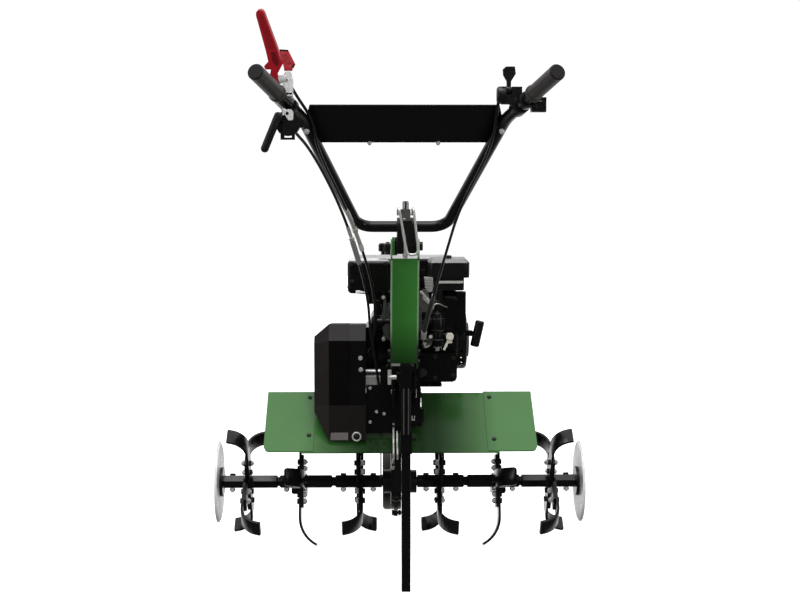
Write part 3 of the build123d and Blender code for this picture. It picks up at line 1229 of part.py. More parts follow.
with BuildPart() as clutch_cable:
    wire_rod([V(-242, -718.5, 1168), V(-234, -696, 1146), V(-190, -640, 1080),
              under_arm(320, 21, 5, -1), under_arm(120, 21, 4, -1), V(-92, -336, 792),
              V(-66, -262, 690), V(-62, -214, 606), V(-70, -150, 540), V(-83, -96, 520)],
             [14.0, 24.0, 30.0, 120.0, 90.0, 60.0, 60.0, 50.0], 3.0)
clutch_cable.part.label = "clutch_cable"
export_step(clutch_cable.part, "parts/clutch_cable.step")

with BuildPart() as reverse_cable:
    wire_rod([V(-240, -718.5, 1072), V(-232, -690, 1062), under_arm(318, 29, -4, -1),
              under_arm(120, 29, -4, -1), V(-104, -346, 778), V(-80, -268, 672),
              V(-76, -214, 592), V(-62, -170, 500), V(-54, -140, 440)],
             [30.0, 60.0, 100.0, 90.0, 60.0, 60.0, 50.0], 3.0)
reverse_cable.part.label = "reverse_cable"
export_step(reverse_cable.part, "parts/reverse_cable.step")

with BuildPart() as throttle_cable:
    wire_rod([V(196, -680, 1137), V(194, -671, 1112), under_arm(320, 21, -5, 1),
              under_arm(110, 21, -4, 1), V(101, -300, 768), V(79, -200, 667), V(63, -110, 588),
              V(58, -62, 546), V(70, -36, 534), V(86, -15, 540)],
             [14.0, 40.0, 120.0, 90.0, 90.0, 60.0, 26.0, 20.0], 3.0)
throttle_cable.part.label = "throttle_cable"
export_step(throttle_cable.part, "parts/throttle_cable.step")

# ---------------------------------------------------------------------------
# Bolts of the frame, the case, the guards and the column
# ---------------------------------------------------------------------------
with BuildPart() as chassis_bolts:
    for y, z in CASE_BOLTS:
        bolt(V(-15, y, z), (-1, 0, 0), 13.0, 5.5, 4.0, 21.0, nut=6.5)
    for s in (-1, 1):
        for y, z in ((-76.0, 404.0), (-2.0, 404.0)):
            bolt(V(50 * s, y, z), (s, 0, 0), 13.0, 5.5, 4.0, 20.0)
        for k, (y, z) in enumerate([col_point(6.0, -36.0), col_point(-26.0, -42.0)]):
            bolt(V(SX + 34 * s, y, z), (s, 0, 0), 15.0, 6.0, 5.0, 12.0)
    bolt(V(SX + 34, *TILT), (1, 0, 0), 18.0, 7.5, 6.0, 82.0, nut=8.0)
chassis_bolts.part.label = "chassis_bolts"
export_step(chassis_bolts.part, "parts/chassis_bolts.step")
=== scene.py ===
import math

import bpy
import bmesh
from mathutils import Matrix, Vector


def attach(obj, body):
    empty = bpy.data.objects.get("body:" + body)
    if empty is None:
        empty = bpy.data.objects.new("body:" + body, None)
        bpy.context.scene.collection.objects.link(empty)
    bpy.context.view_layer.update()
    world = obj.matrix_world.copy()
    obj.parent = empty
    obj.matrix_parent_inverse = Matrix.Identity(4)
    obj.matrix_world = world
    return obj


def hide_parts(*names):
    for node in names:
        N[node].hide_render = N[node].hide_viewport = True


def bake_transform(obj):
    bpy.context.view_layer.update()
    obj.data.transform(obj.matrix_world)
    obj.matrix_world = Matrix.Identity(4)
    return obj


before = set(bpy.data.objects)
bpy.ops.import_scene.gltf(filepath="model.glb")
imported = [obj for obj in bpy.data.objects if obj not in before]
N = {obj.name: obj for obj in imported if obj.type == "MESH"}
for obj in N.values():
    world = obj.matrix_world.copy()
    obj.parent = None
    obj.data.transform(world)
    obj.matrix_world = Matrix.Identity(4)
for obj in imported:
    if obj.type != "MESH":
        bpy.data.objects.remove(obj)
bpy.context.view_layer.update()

AY = 209.41       # place of the tine axle along Y, mm
ZA = 163.75       # height of the tine axle, mm
SX = 8.0          # the column, its clamp and the stake stand right of the middle


def V(x, y, z):
    """A point in mm, with y counted from the tine axle, as a vector in metres."""
    return Vector((x / 1000.0, (y + AY) / 1000.0, z / 1000.0))


# ---------------------------------------------------------------------------
# Materials
# ---------------------------------------------------------------------------
def material(name, colour, rough, metal=0.0, coat=0.0, coat_rough=0.1, spec=0.5,
             grain=0.0, grain_scale=300.0, rough_var=0.0, rough_scale=20.0, bump=0.0,
             bump_scale=400.0, bump_dist=0.0004, stretch=(1, 1, 1), dust=None, dust_amount=0.0,
             dust_scale=25.0):
    m = bpy.data.materials.new(name)
    m.use_nodes = True
    nt = m.node_tree
    b = nt.nodes["Principled BSDF"]
    b.inputs["Base Color"].default_value = (*colour, 1.0)
    b.inputs["Roughness"].default_value = rough
    b.inputs["Metallic"].default_value = metal
    b.inputs["Coat Weight"].default_value = coat
    b.inputs["Coat Roughness"].default_value = coat_rough
    b.inputs["Specular IOR Level"].default_value = spec
    if grain or rough_var or bump or dust:
        tc = nt.nodes.new("ShaderNodeTexCoord")
        mp = nt.nodes.new("ShaderNodeMapping")
        mp.inputs["Scale"].default_value = stretch
        nt.links.new(tc.outputs["Object"], mp.inputs["Vector"])
    colour_out = None
    if grain:
        n = nt.nodes.new("ShaderNodeTexNoise")
        n.inputs["Scale"].default_value = grain_scale
        n.inputs["Detail"].default_value = 4.0
        nt.links.new(mp.outputs["Vector"], n.inputs["Vector"])
        r = nt.nodes.new("ShaderNodeValToRGB")
        lo = [max(0.0, c * (1 - grain)) for c in colour]
        hi = [min(1.0, c * (1 + grain)) for c in colour]
        r.color_ramp.elements[0].position = 0.3
        r.color_ramp.elements[1].position = 0.7
        r.color_ramp.elements[0].color = (*lo, 1)
        r.color_ramp.elements[1].color = (*hi, 1)
        nt.links.new(n.outputs["Fac"], r.inputs["Fac"])
        colour_out = r.outputs["Color"]
    if dust:
        n = nt.nodes.new("ShaderNodeTexNoise")
        n.inputs["Scale"].default_value = dust_scale
        n.inputs["Detail"].default_value = 5.0
        nt.links.new(mp.outputs["Vector"], n.inputs["Vector"])
        r = nt.nodes.new("ShaderNodeMapRange")
        r.inputs["From Min"].default_value = 0.45
        r.inputs["From Max"].default_value = 0.8
        r.inputs["To Min"].default_value = 0.0
        r.inputs["To Max"].default_value = dust_amount
        nt.links.new(n.outputs["Fac"], r.inputs["Value"])
        x = nt.nodes.new("ShaderNodeMix")
        x.data_type = "RGBA"
        x.inputs["A"].default_value = (*colour, 1)
        if colour_out:
            nt.links.new(colour_out, x.inputs["A"])
        x.inputs["B"].default_value = (*dust, 1)
        nt.links.new(r.outputs["Result"], x.inputs["Factor"])
        colour_out = x.outputs["Result"]
    if colour_out:
        nt.links.new(colour_out, b.inputs["Base Color"])
    if rough_var:
        n = nt.nodes.new("ShaderNodeTexNoise")
        n.inputs["Scale"].default_value = rough_scale
        n.inputs["Detail"].default_value = 3.0
        nt.links.new(mp.outputs["Vector"], n.inputs["Vector"])
        r = nt.nodes.new("ShaderNodeMapRange")
        r.inputs["From Min"].default_value = 0.3
        r.inputs["From Max"].default_value = 0.7
        r.inputs["To Min"].default_value = max(0.02, rough - rough_var)
        r.inputs["To Max"].default_value = min(1.0, rough + rough_var)
        nt.links.new(n.outputs["Fac"], r.inputs["Value"])
        nt.links.new(r.outputs["Result"], b.inputs["Roughness"])
    if bump:
        n = nt.nodes.new("ShaderNodeTexNoise")
        n.inputs["Scale"].default_value = bump_scale
        n.inputs["Detail"].default_value = 2.0
        nt.links.new(mp.outputs["Vector"], n.inputs["Vector"])
        k = nt.nodes.new("ShaderNodeBump")
        k.inputs["Strength"].default_value = bump
        k.inputs["Distance"].default_value = bump_dist
        nt.links.new(n.outputs["Fac"], k.inputs["Height"])
        nt.links.new(k.outputs["Normal"], b.inputs["Normal"])
    return m


M = {
    "black": material("black_powder_coat", (0.0036, 0.0032, 0.0032), 0.24, spec=0.36, rough_var=0.05,
                      bump=0.008, bump_scale=900, bump_dist=0.0002),
    "tine": material("black_tine_paint", (0.0040, 0.0037, 0.0037), 0.24, spec=0.36, rough_var=0.06,
                     rough_scale=45, bump=0.012, bump_scale=700, bump_dist=0.0002),
    "cover": material("black_cover_plastic", (0.0030, 0.0025, 0.0024), 0.28, spec=0.22, bump=0.01,
                      bump_scale=1600, bump_dist=0.0002, rough_var=0.04),
    "green": material("green_gloss_paint", (0.046, 0.152, 0.036), 0.13, spec=0.45, rough_var=0.04,
                      grain=0.04, grain_scale=12, bump=0.015, bump_scale=350, bump_dist=0.0003),
    "green_column": material("green_column_paint", (0.040, 0.185, 0.031), 0.22, spec=0.40,
                             grain=0.05, grain_scale=14, rough_var=0.05, bump=0.02, bump_scale=450,
                             bump_dist=0.0003),
    "galv": material("galvanised_sheet", (0.95, 0.95, 0.93), 0.32, metal=0.1, grain=0.10,
                     grain_scale=60, rough_var=0.08),
    "panel": material("black_panel_paint", (0.0030, 0.0027, 0.0027), 0.34, spec=0.16, rough_var=0.05,
                      bump=0.006, bump_scale=900, bump_dist=0.0002),
    "gloss": material("black_tank_gloss", (0.0036, 0.0032, 0.0032), 0.09, spec=0.5, coat=0.6,
                      coat_rough=0.05, rough_var=0.02, bump=0.004, bump_scale=200, bump_dist=0.0002),
    # lighter copies of the cover's black: painted light on the faces that catch more light
    "cover_low": material("black_cover_painted_light_side", (0.0150, 0.0118, 0.0108), 0.38, spec=0.40,
                          bump=0.01, bump_scale=1600, bump_dist=0.0002, rough_var=0.04),
    "cover_foot": material("black_cover_painted_light_foot", (0.0070, 0.0056, 0.0051), 0.38, spec=0.30,
                           bump=0.01, bump_scale=1600, bump_dist=0.0002, rough_var=0.04),
    "cover_top": material("black_cover_painted_light_top", (0.0068, 0.0050, 0.0046), 0.40, spec=0.15,
                          bump=0.01, bump_scale=1600, bump_dist=0.0002, rough_var=0.04),
    # light grey for painted highlights on upper edges
    "sheen": material("painted_highlight_edge", (0.42, 0.41, 0.42), 0.20, spec=0.6, grain=0.10,
                      grain_scale=40, rough_var=0.06),
    "sheen_low": material("painted_highlight_edge_low", (0.20, 0.195, 0.195), 0.25, spec=0.6, grain=0.10,
                          grain_scale=40, rough_var=0.06),
    "bright": material("bright_zinc", (0.66, 0.65, 0.62), 0.30, metal=0.45, grain=0.10,
                       grain_scale=260, rough_var=0.06),
    # lighter green for the painted highlight on the column's flange edges
    "flange": material("green_flange_painted_highlight", (0.22, 0.36, 0.20), 0.16, spec=0.6, grain=0.08,
                       grain_scale=60, rough_var=0.05),
    "tape": material("grey_brown_plate", (0.115, 0.100, 0.098), 0.42, spec=0.45, grain=0.08,
                     grain_scale=120, rough_var=0.05),
    "zinc": material("zinc_plated", (0.60, 0.59, 0.56), 0.28, metal=0.6, grain=0.12,
                     grain_scale=300, rough_var=0.06),
    "nut": material("dull_zinc_nut", (0.58, 0.58, 0.56), 0.32, metal=0.35, grain=0.15,
                    grain_scale=300, rough_var=0.06),
    "black_bolt": material("black_bolt", (0.012, 0.012, 0.012), 0.36, metal=0.3, spec=0.4,
                           grain=0.2, grain_scale=400),
    "steel": material("machined_steel", (0.42, 0.42, 0.42), 0.35, metal=1.0, grain=0.15,
                      grain_scale=200),
    "iron": material("black_cast_iron", (0.0055, 0.0052, 0.0052), 0.36, spec=0.40, grain=0.3,
                     grain_scale=250, bump=0.08, bump_scale=500, bump_dist=0.0003),
    "alu": material("die_cast_aluminium", (0.56, 0.55, 0.54), 0.34, metal=0.25, grain=0.12,
                    grain_scale=220, bump=0.12, bump_scale=700),
    "engine": material("engine_black", (0.0030, 0.0028, 0.0028), 0.28, spec=0.30, bump=0.03,
                       bump_scale=700, bump_dist=0.0003, rough_var=0.05),
    "plastic": material("black_plastic", (0.0052, 0.0047, 0.0047), 0.30, spec=0.40, bump=0.02,
                        bump_scale=1300, bump_dist=0.0002, rough_var=0.04),
    "red": material("red_plastic", (0.34, 0.008, 0.016), 0.28, spec=0.5, bump=0.03,
                    bump_scale=900, grain=0.06, grain_scale=120),
    # darker copies of the red: painted shade on the clutch lever and its lock
    "red_mid": material("red_plastic_painted_soft_shade", (0.23, 0.006, 0.011), 0.30, spec=0.5, bump=0.03,
                        bump_scale=900, grain=0.08, grain_scale=120),
    "red_dark": material("red_plastic_painted_shade", (0.13, 0.004, 0.008), 0.34, spec=0.45, bump=0.03,
                         bump_scale=900, grain=0.08, grain_scale=120),
    "rubber": material("grip_rubber", (0.034, 0.029, 0.028), 0.46, spec=0.55, bump=0.10,
                       bump_scale=900, grain=0.1, grain_scale=200),
    "cap": material("grip_end_rubber", (0.0075, 0.0065, 0.0068), 0.55, spec=0.3, bump=0.1,
                    bump_scale=900, grain=0.1, grain_scale=200),
    "sheath": material("cable_sheath", (0.0065, 0.006, 0.006), 0.34, spec=0.45, grain=0.1,
                       grain_scale=200),
    "tyre": material("tyre_rubber", (0.020, 0.019, 0.018), 0.60, spec=0.4, bump=0.15,
                     bump_scale=500, dust=(0.30, 0.27, 0.22), dust_amount=0.14),
    "tyre_front": material("front_tyre_rubber", (0.020, 0.018, 0.016), 0.60, spec=0.4, bump=0.15,
                           bump_scale=500, grain=0.12, grain_scale=80),
    "chrome": material("bright_wire", (0.70, 0.70, 0.67), 0.18, metal=0.6, grain=0.06,
                       grain_scale=200),
    "dark": material("dark_hollow", (0.002, 0.002, 0.002), 0.7, spec=0.15, grain=0.1),
    "grey": material("grey_sheet", (0.28, 0.28, 0.27), 0.38, metal=0.3, grain=0.12,
                     grain_scale=160),
    "dark_grey": material("dark_grey_metal", (0.070, 0.067, 0.063), 0.40, metal=0.3, grain=0.15,
                          grain_scale=200),
    "cream": material("cream_plastic", (0.55, 0.52, 0.45), 0.38, spec=0.45, grain=0.05,
                      grain_scale=150),
}


def shaded(m, axis, p0, p1, f0, f1, both=False):
    """The base colour is multiplied by a factor that changes along one axis of the object, in mm; this paints light and
    shade into the colour.
    """
    nt = m.node_tree
    b = nt.nodes["Principled BSDF"]
    source = b.inputs["Base Color"].links[0].from_socket
    tc = nt.nodes.new("ShaderNodeTexCoord")
    sep = nt.nodes.new("ShaderNodeSeparateXYZ")
    nt.links.new(tc.outputs["Object"], sep.inputs["Vector"])
    r = nt.nodes.new("ShaderNodeMapRange")
    r.inputs["From Min"].default_value = p0 / 1000.0
    r.inputs["From Max"].default_value = p1 / 1000.0
    r.inputs["To Min"].default_value = f0
    r.inputs["To Max"].default_value = f1
    value = sep.outputs[axis]
    if both:
        a = nt.nodes.new("ShaderNodeMath")
        a.operation = "ABSOLUTE"
        nt.links.new(value, a.inputs[0])
        value = a.outputs["Value"]
    nt.links.new(value, r.inputs["Value"])
    x = nt.nodes.new("ShaderNodeMix")
    x.data_type = "RGBA"
    x.blend_type = "MULTIPLY"
    x.inputs["Factor"].default_value = 1.0
    nt.links.new(source, x.inputs["A"])
    nt.links.new(r.outputs["Result"], x.inputs["B"])
    nt.links.new(x.outputs["Result"], b.inputs["Base Color"])


# the front tyre's colour is made lighter towards its lowest part: dust there, and painted light on that poorly lit
# underside
shaded(M["tyre_front"], "Z", 16, 56, 12.0, 1.0)
# painted shade: the column's green and the flange highlight grow darker towards the column's foot, and the column's
# green is darker on its left half
shaded(M["green_column"], "Z", 505, 620, 0.26, 1.0)
shaded(M["flange"], "Z", 545, 600, 0.10, 1.0)
shaded(M["green_column"], "X", SX - 24, SX + 24, 0.80, 1.08)


def guard_shade(m, reach, power, least):
    """Painted shade: the guards' colour and gloss are made darker and duller under the engine, towards the middle."""
    nt = m.node_tree
    b = nt.nodes["Principled BSDF"]
    source = b.inputs["Base Color"].links[0].from_socket
    tc = nt.nodes.new("ShaderNodeTexCoord")
    sep = nt.nodes.new("ShaderNodeSeparateXYZ")
    nt.links.new(tc.outputs["Object"], sep.inputs["Vector"])
    value = sep.outputs["X"]
    for operation, number in (("ABSOLUTE", None), ("DIVIDE", reach / 1000.0), ("POWER", power),
                              ("MAXIMUM", least), ("MINIMUM", 1.0)):
        k = nt.nodes.new("ShaderNodeMath")
        k.operation = operation
        nt.links.new(value, k.inputs[0])
        if number is not None:
            k.inputs[1].default_value = number
        value = k.outputs["Value"]
    x = nt.nodes.new("ShaderNodeMix")
    x.data_type = "RGBA"
    x.blend_type = "MULTIPLY"
    x.inputs["Factor"].default_value = 1.0
    nt.links.new(source, x.inputs["A"])
    nt.links.new(value, x.inputs["B"])
    nt.links.new(x.outputs["Result"], b.inputs["Base Color"])
    g = nt.nodes.new("ShaderNodeMath")
    g.operation = "MULTIPLY"
    nt.links.new(value, g.inputs[0])
    g.inputs[1].default_value = b.inputs["Specular IOR Level"].default_value
    nt.links.new(g.outputs["Value"], b.inputs["Specular IOR Level"])


# painted shade on the guards, darker towards the middle under the engine
guard_shade(M["green"], 245.0, 1.8, 0.17)
node_material = {
    "tine_axle": "black", "inner_hubs": "tine", "middle_hubs": "tine", "outer_hubs": "tine",
    "tines": "tine", "plant_discs": "galv", "rotor_bolts": "nut", "gearbox_case_left": "iron",
    "gearbox_case_right": "iron", "bearings_and_seals": "steel", "input_shaft": "steel",
    "counter_shaft": "steel", "drive_chain": "steel", "driven_pulley": "iron",
    "drive_pulley": "iron", "drive_belts": "tyre", "belt_cover": "cover",
    "belt_back_plate": "black", "tensioner_arm": "steel", "idler_pulley": "steel",
    "engine_frame": "black", "handlebar_column": "green_column", "rear_bracket": "black",
    "mud_guards": "green", "engine_block": "engine", "cylinder_head": "engine",
    "spark_plug": "plastic", "fan_cover": "engine", "recoil_cover": "plastic",
    "recoil_handle": "plastic", "crankshaft": "steel", "flywheel": "alu", "fuel_tank": "gloss",
    "fuel_cap": "plastic", "muffler": "black", "carburetor": "engine",
    "air_cleaner_base": "plastic", "air_cleaner_cover": "plastic", "wheel_arm": "zinc",
    "front_wheel": "tyre_front", "depth_stake": "black", "stake_screw": "zinc",
    "handlebar_tube": "black", "handle_grips": "rubber", "control_panel": "panel",
    "handlebar_clamp": "iron", "clamp_lever": "chrome", "lever_bracket": "alu",
    "clutch_lever": "red", "clutch_lock": "red", "reverse_housing": "plastic",
    "reverse_lever": "plastic", "throttle_housing": "plastic", "throttle_lever": "plastic",
    "stop_switch": "plastic", "stop_button": "plastic", "clutch_cable": "sheath",
    "reverse_cable": "sheath", "throttle_cable": "sheath", "chassis_bolts": "black_bolt",
}
bevelled = {
    "belt_cover": 2.0, "air_cleaner_cover": 1.5, "air_cleaner_base": 1.2, "engine_block": 1.2,
    "cylinder_head": 0.8, "clutch_lever": 3.2, "clutch_lock": 3.0, "reverse_housing": 1.6,
    "throttle_housing": 4.0, "stop_switch": 3.5, "lever_bracket": 4.0, "handlebar_clamp": 1.2,
    "rear_bracket": 0.8, "engine_frame": 0.8, "tines": 0.5, "depth_stake": 1.0,
    "handlebar_column": 0.9, "mud_guards": 0.6, "throttle_lever": 2.5, "reverse_lever": 0.8,
    "control_panel": 0.5, "wheel_arm": 0.8, "inner_hubs": 0.8, "middle_hubs": 0.8,
    "outer_hubs": 0.8, "carburetor": 1.0, "recoil_handle": 1.0, "gearbox_case_left": 0.8,
    "gearbox_case_right": 0.8, "fan_cover": 0.8, "belt_back_plate": 0.8,
}
for name, obj in N.items():
    obj.data.materials.clear()
    obj.data.materials.append(M[node_material[name]])
    if name in bevelled:
        w = obj.modifiers.new("weld", "WELD")
        w.merge_threshold = 0.00002
        b = obj.modifiers.new("bevel", "BEVEL")
        b.width = bevelled[name] / 1000.0
        b.segments = 2
        b.limit_method = "ANGLE"
        b.angle_limit = math.radians(38)
        b.use_clamp_overlap = True
        b.harden_normals = True


def mm(p):
    """A point of the frame in mm, with y counted from the tine axle."""
    return Vector((p[0] * 1000.0, p[1] * 1000.0 - AY, p[2] * 1000.0))


def paint(node, mat, where):
    """The faces of a node whose centre (mm) and normal satisfy where get another material."""
    me = N[node].data
    if M[mat].name not in [m.name for m in me.materials]:
        me.materials.append(M[mat])
    i = [m for m in me.materials].index(M[mat])
    for p in me.polygons:
        if where(mm(p.center), p.normal):
            p.material_index = i


def islands(me):
    """The polygons of a mesh in groups that hang together by position."""
    key, parent = {}, {}

    def find(a):
        while parent[a] != a:
            parent[a] = parent[parent[a]]
            a = parent[a]
        return a

    ids = []
    for v in me.vertices:
        k = tuple(round(c * 1e5) for c in v.co)
        ids.append(key.setdefault(k, len(key)))
    for i in range(len(key)):
        parent[i] = i
    for p in me.polygons:
        vs = [find(ids[v]) for v in p.vertices]
        for v in vs[1:]:
            parent[find(v)] = find(vs[0])
    groups = {}
    for p in me.polygons:
        groups.setdefault(find(ids[p.vertices[0]]), []).append(p)
    return list(groups.values())


# the bolts' heads are black, their nuts bare
me = N["rotor_bolts"].data
me.materials.append(M["black_bolt"])
for group in islands(me):
    pts = [mm(me.vertices[v].co) for p in group for v in p.vertices]
    lo = Vector([min(p[k] for p in pts) for k in range(3)])
    hi = Vector([max(p[k] for p in pts) for k in range(3)])
    c = (lo + hi) / 2
    along_x = hi.x - lo.x > 1.25 * max(hi.y - lo.y, hi.z - lo.z)
    # the end with the slimmer stud is the nut's end
    low = max(math.hypot(q.y - c.y, q.z - c.z) for q in pts if q.x < lo.x + 0.4)
    high = max(math.hypot(q.y - c.y, q.z - c.z) for q in pts if q.x > hi.x - 0.4)
    for p in group:
        q = mm(p.center)
        if along_x:
            head = (q.x < c.x) == (low > high)
        else:
            head = q.z > c.z
        p.material_index = 1 if head else 0


# hub flanges of the end discs are black, as the shaft stubs; the disc itself is galvanised
paint("plant_discs", "tine", lambda c, n: abs(c.x) < 467.5 and math.hypot(c.y, c.z - ZA) < 40.0)
# painted light: the belt cover's lower, left and top faces get lighter copies of its black, for the light they catch;
# the back plate's top faces take the duller panel black and its lower face the lighter copy
paint("belt_cover", "cover_foot", lambda c, n: n.y < -0.9 and 0.05 < n.z < 0.25)
paint("belt_cover", "cover_low", lambda c, n: n.x < -0.4 and n.y < -0.3 and abs(n.z) < 0.3)
paint("belt_cover", "cover_top", lambda c, n: n.z > 0.28)
paint("belt_back_plate", "panel", lambda c, n: n.z > 0.25)
paint("belt_back_plate", "cover_foot", lambda c, n: n.y < -0.9 and 0.05 < n.z < 0.25)
# painted highlight: lighter green on the edges of the column's flanges
paint("handlebar_column", "flange", lambda c, n: n.y < -0.5 and abs(abs(c.x - SX) - 32.0) < 2.6
      and c.z > 500.0)
# painted highlight: light grey on the upper edges of the tank, the muffler and the air cleaner, for the reflection of
# the bright backdrop
paint("fuel_tank", "sheen", lambda c, n: n.z > 0.55 and n.y < -0.05 and c.y < 160.0)
paint("muffler", "sheen", lambda c, n: n.z > 0.8)
paint("air_cleaner_cover", "sheen_low", lambda c, n: n.z > 0.6 and n.y < -0.4)
# the lock's upper edge is dark
paint("clutch_lock", "plastic", lambda c, n: n.z > 0.8)
# end caps of the grips
GRIP_END = (292.0, -860.0, 1168.0)
GRIP_DIR = Vector((79.0, -220.0, 83.0)).normalized()
paint("handle_grips", "cap", lambda c, n: (Vector((abs(c.x), c.y, c.z)) - Vector(GRIP_END)).dot(GRIP_DIR) > 1.9)


# ---------------------------------------------------------------------------
# Mesh building
# ---------------------------------------------------------------------------
def piece(name, bm, mat, body, smooth=35.0, bevel=0.0, mats=()):
    bmesh.ops.remove_doubles(bm, verts=bm.verts, dist=1e-7)
    bmesh.ops.recalc_face_normals(bm, faces=bm.faces)
    mesh = bpy.data.meshes.new(name)
    bm.to_mesh(mesh)
    bm.free()
    mesh.materials.append(M[mat])
    for m in mats:
        mesh.materials.append(M[m])
    o = bpy.data.objects.new(name, mesh)
    bpy.context.scene.collection.objects.link(o)
    for p in mesh.polygons:
        p.use_smooth = True
    if bevel:
        b = o.modifiers.new("bevel", "BEVEL")
        b.width = bevel / 1000.0
        b.segments = 2
        b.limit_method = "ANGLE"
        b.angle_limit = math.radians(38)
        b.harden_normals = True
    mesh.set_sharp_from_angle(angle=math.radians(smooth))
    if body:
        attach(o, body)
    return o


def box(bm, x0, x1, y0, y1, z0, z1):
    c = [V(x, y, z) for x in (x0, x1) for y in (y0, y1) for z in (z0, z1)]
    v = [bm.verts.new(p) for p in c]
    for f in ((0, 1, 3, 2), (4, 6, 7, 5), (0, 4, 5, 1), (2, 3, 7, 6), (0, 2, 6, 4), (1, 5, 7, 3)):
        bm.faces.new([v[i] for i in f])


def prism(bm, pts, vec):
    """A flat outline of points, made thick by a vector; everything in metres."""
    a = [bm.verts.new(p) for p in pts]
    b = [bm.verts.new(p + vec) for p in pts]
    bm.faces.new(a)
    bm.faces.new(list(reversed(b)))
    for i in range(len(pts)):
        j = (i + 1) % len(pts)
        bm.faces.new((a[i], b[i], b[j], a[j]))


def turned(bm, a, d, profile, seg=28, phase=0.0):
    """A body of revolution: profile is (distance along d, radius) in mm, from a (metres) along d."""
    d = Vector(d).normalized()
    u = d.orthogonal().normalized()
    w = d.cross(u)
    rings = []
    for s, r in profile:
        c = a + d * (s / 1000.0)
        if r <= 1e-6:
            rings.append([bm.verts.new(c)])
        else:
            rings.append([bm.verts.new(c + (u * math.cos(t) + w * math.sin(t)) * (r / 1000.0))
                          for t in [phase + 2 * math.pi * k / seg for k in range(seg)]])
    for p, q in zip(rings, rings[1:]):
        for k in range(seg):
            j = (k + 1) % seg
            if len(p) == 1 and len(q) == 1:
                continue
            if len(p) == 1:
                bm.faces.new((p[0], q[k], q[j]))
            elif len(q) == 1:
                bm.faces.new((p[k], q[0], p[j]))
            else:
                bm.faces.new((p[k], q[k], q[j], p[j]))
    for ring in (rings[0], rings[-1]):
        if len(ring) > 1:
            bm.faces.new(ring)


def rod(bm, a, b, r, seg=24, edge=0.6):
    """A round bar with small chamfers between two points in metres, radius in mm."""
    d = b - a
    length = d.length * 1000.0
    e = min(edge, r * 0.4, length * 0.3)
    turned(bm, a, d, [(0, r - e), (e, r), (length - e, r), (length, r - e)], seg)


def bolt(bm, at, d, af, head, washer=0.0, thick=1.6):
    """A hexagon bolt head with a washer under it, on at, pointing along d."""
    r = af / math.sqrt(3.0)
    base = 0.0
    if washer:
        turned(bm, at, d, [(0, washer), (thick * 0.7, washer), (thick, washer - 0.6)], 24)
        base = thick - 0.05
    turned(bm, at + Vector(d).normalized() * (base / 1000.0), d,
           [(0, r), (head * 0.78, r), (head, r * 0.82), (head, r * 0.6), (head * 0.93, r * 0.5),
            (head * 0.93, 0.0)], 6, phase=0.3)


def hexnut_stud(bm, at, d, af, nut, stud, r):
    turned(bm, at, d, [(0, af / math.sqrt(3)), (nut * 0.85, af / math.sqrt(3)),
                       (nut, af / math.sqrt(3) * 0.84), (nut, r), (nut + stud - 0.6, r),
                       (nut + stud, r - 0.6), (nut + stud, 0)], 6, phase=0.2)


def spline_points(pts):
    """Points read along the smooth spline whose control points are pts (metres)."""
    cu = bpy.data.curves.new("route", "CURVE")
    cu.dimensions = "3D"
    sp = cu.splines.new("NURBS")
    sp.points.add(len(pts) - 1)
    for p, q in zip(sp.points, pts):
        p.co = (*q, 1.0)
    sp.order_u = 3
    sp.use_endpoint_u = True
    sp.resolution_u = 40
    o = bpy.data.objects.new("route", cu)
    bpy.context.scene.collection.objects.link(o)
    bpy.context.view_layer.update()
    me = bpy.data.meshes.new_from_object(o.evaluated_get(bpy.context.evaluated_depsgraph_get()))
    out = [v.co.copy() for v in me.vertices]
    bpy.data.objects.remove(o)
    bpy.data.meshes.remove(me)
    bpy.data.curves.remove(cu)
    return out


def tube(bm, pts, radius, seg=14):
    """A round tube along points in metres. radius in mm is a number, or a function of the share of
    the length (0 to 1)."""
    n = len(pts)
    length = [0.0]
    for p, q in zip(pts, pts[1:]):
        length.append(length[-1] + (q - p).length)
    fr = radius if callable(radius) else (lambda t: radius)
    tang = [(pts[min(i + 1, n - 1)] - pts[max(i - 1, 0)]).normalized() for i in range(n)]
    u = tang[0].orthogonal().normalized()
    rings = []
    for i in range(n):
        u = (u - tang[i] * u.dot(tang[i])).normalized()
        w = tang[i].cross(u)
        r = fr(length[i] / length[-1]) / 1000.0
        rings.append([bm.verts.new(pts[i] + (u * math.cos(2 * math.pi * k / seg)
                                             + w * math.sin(2 * math.pi * k / seg)) * r)
                      for k in range(seg)])
    for p, q in zip(rings, rings[1:]):
        for k in range(seg):
            j = (k + 1) % seg
            bm.faces.new((p[k], q[k], q[j], p[j]))
    bm.faces.new(rings[0])
    bm.faces.new(rings[-1])


def stretch(pts, z_hi, z_lo):
    """The part of a falling line between two heights in mm."""
    return [p for p in pts if z_lo <= p.z * 1000.0 <= z_hi]


# ---------------------------------------------------------------------------
# Cables: smooth lines on their routes
# ---------------------------------------------------------------------------
CROSS = (-350.0, 846.0)
BEND = (213.0, -640.0, 1085.0)
ARM = Vector((0.2832, -0.74, 0.6098))
ARM_N = Vector((0.0, -0.636, -0.7717))


def under_arm(along, out, x, sign):
    p = Vector((102.0 + ARM.x * along, CROSS[0] + ARM.y * along, CROSS[1] + ARM.z * along))
    p = Vector((sign * p.x, p.y, p.z)) + ARM_N * out + Vector((x, 0, 0))
    return V(*p)


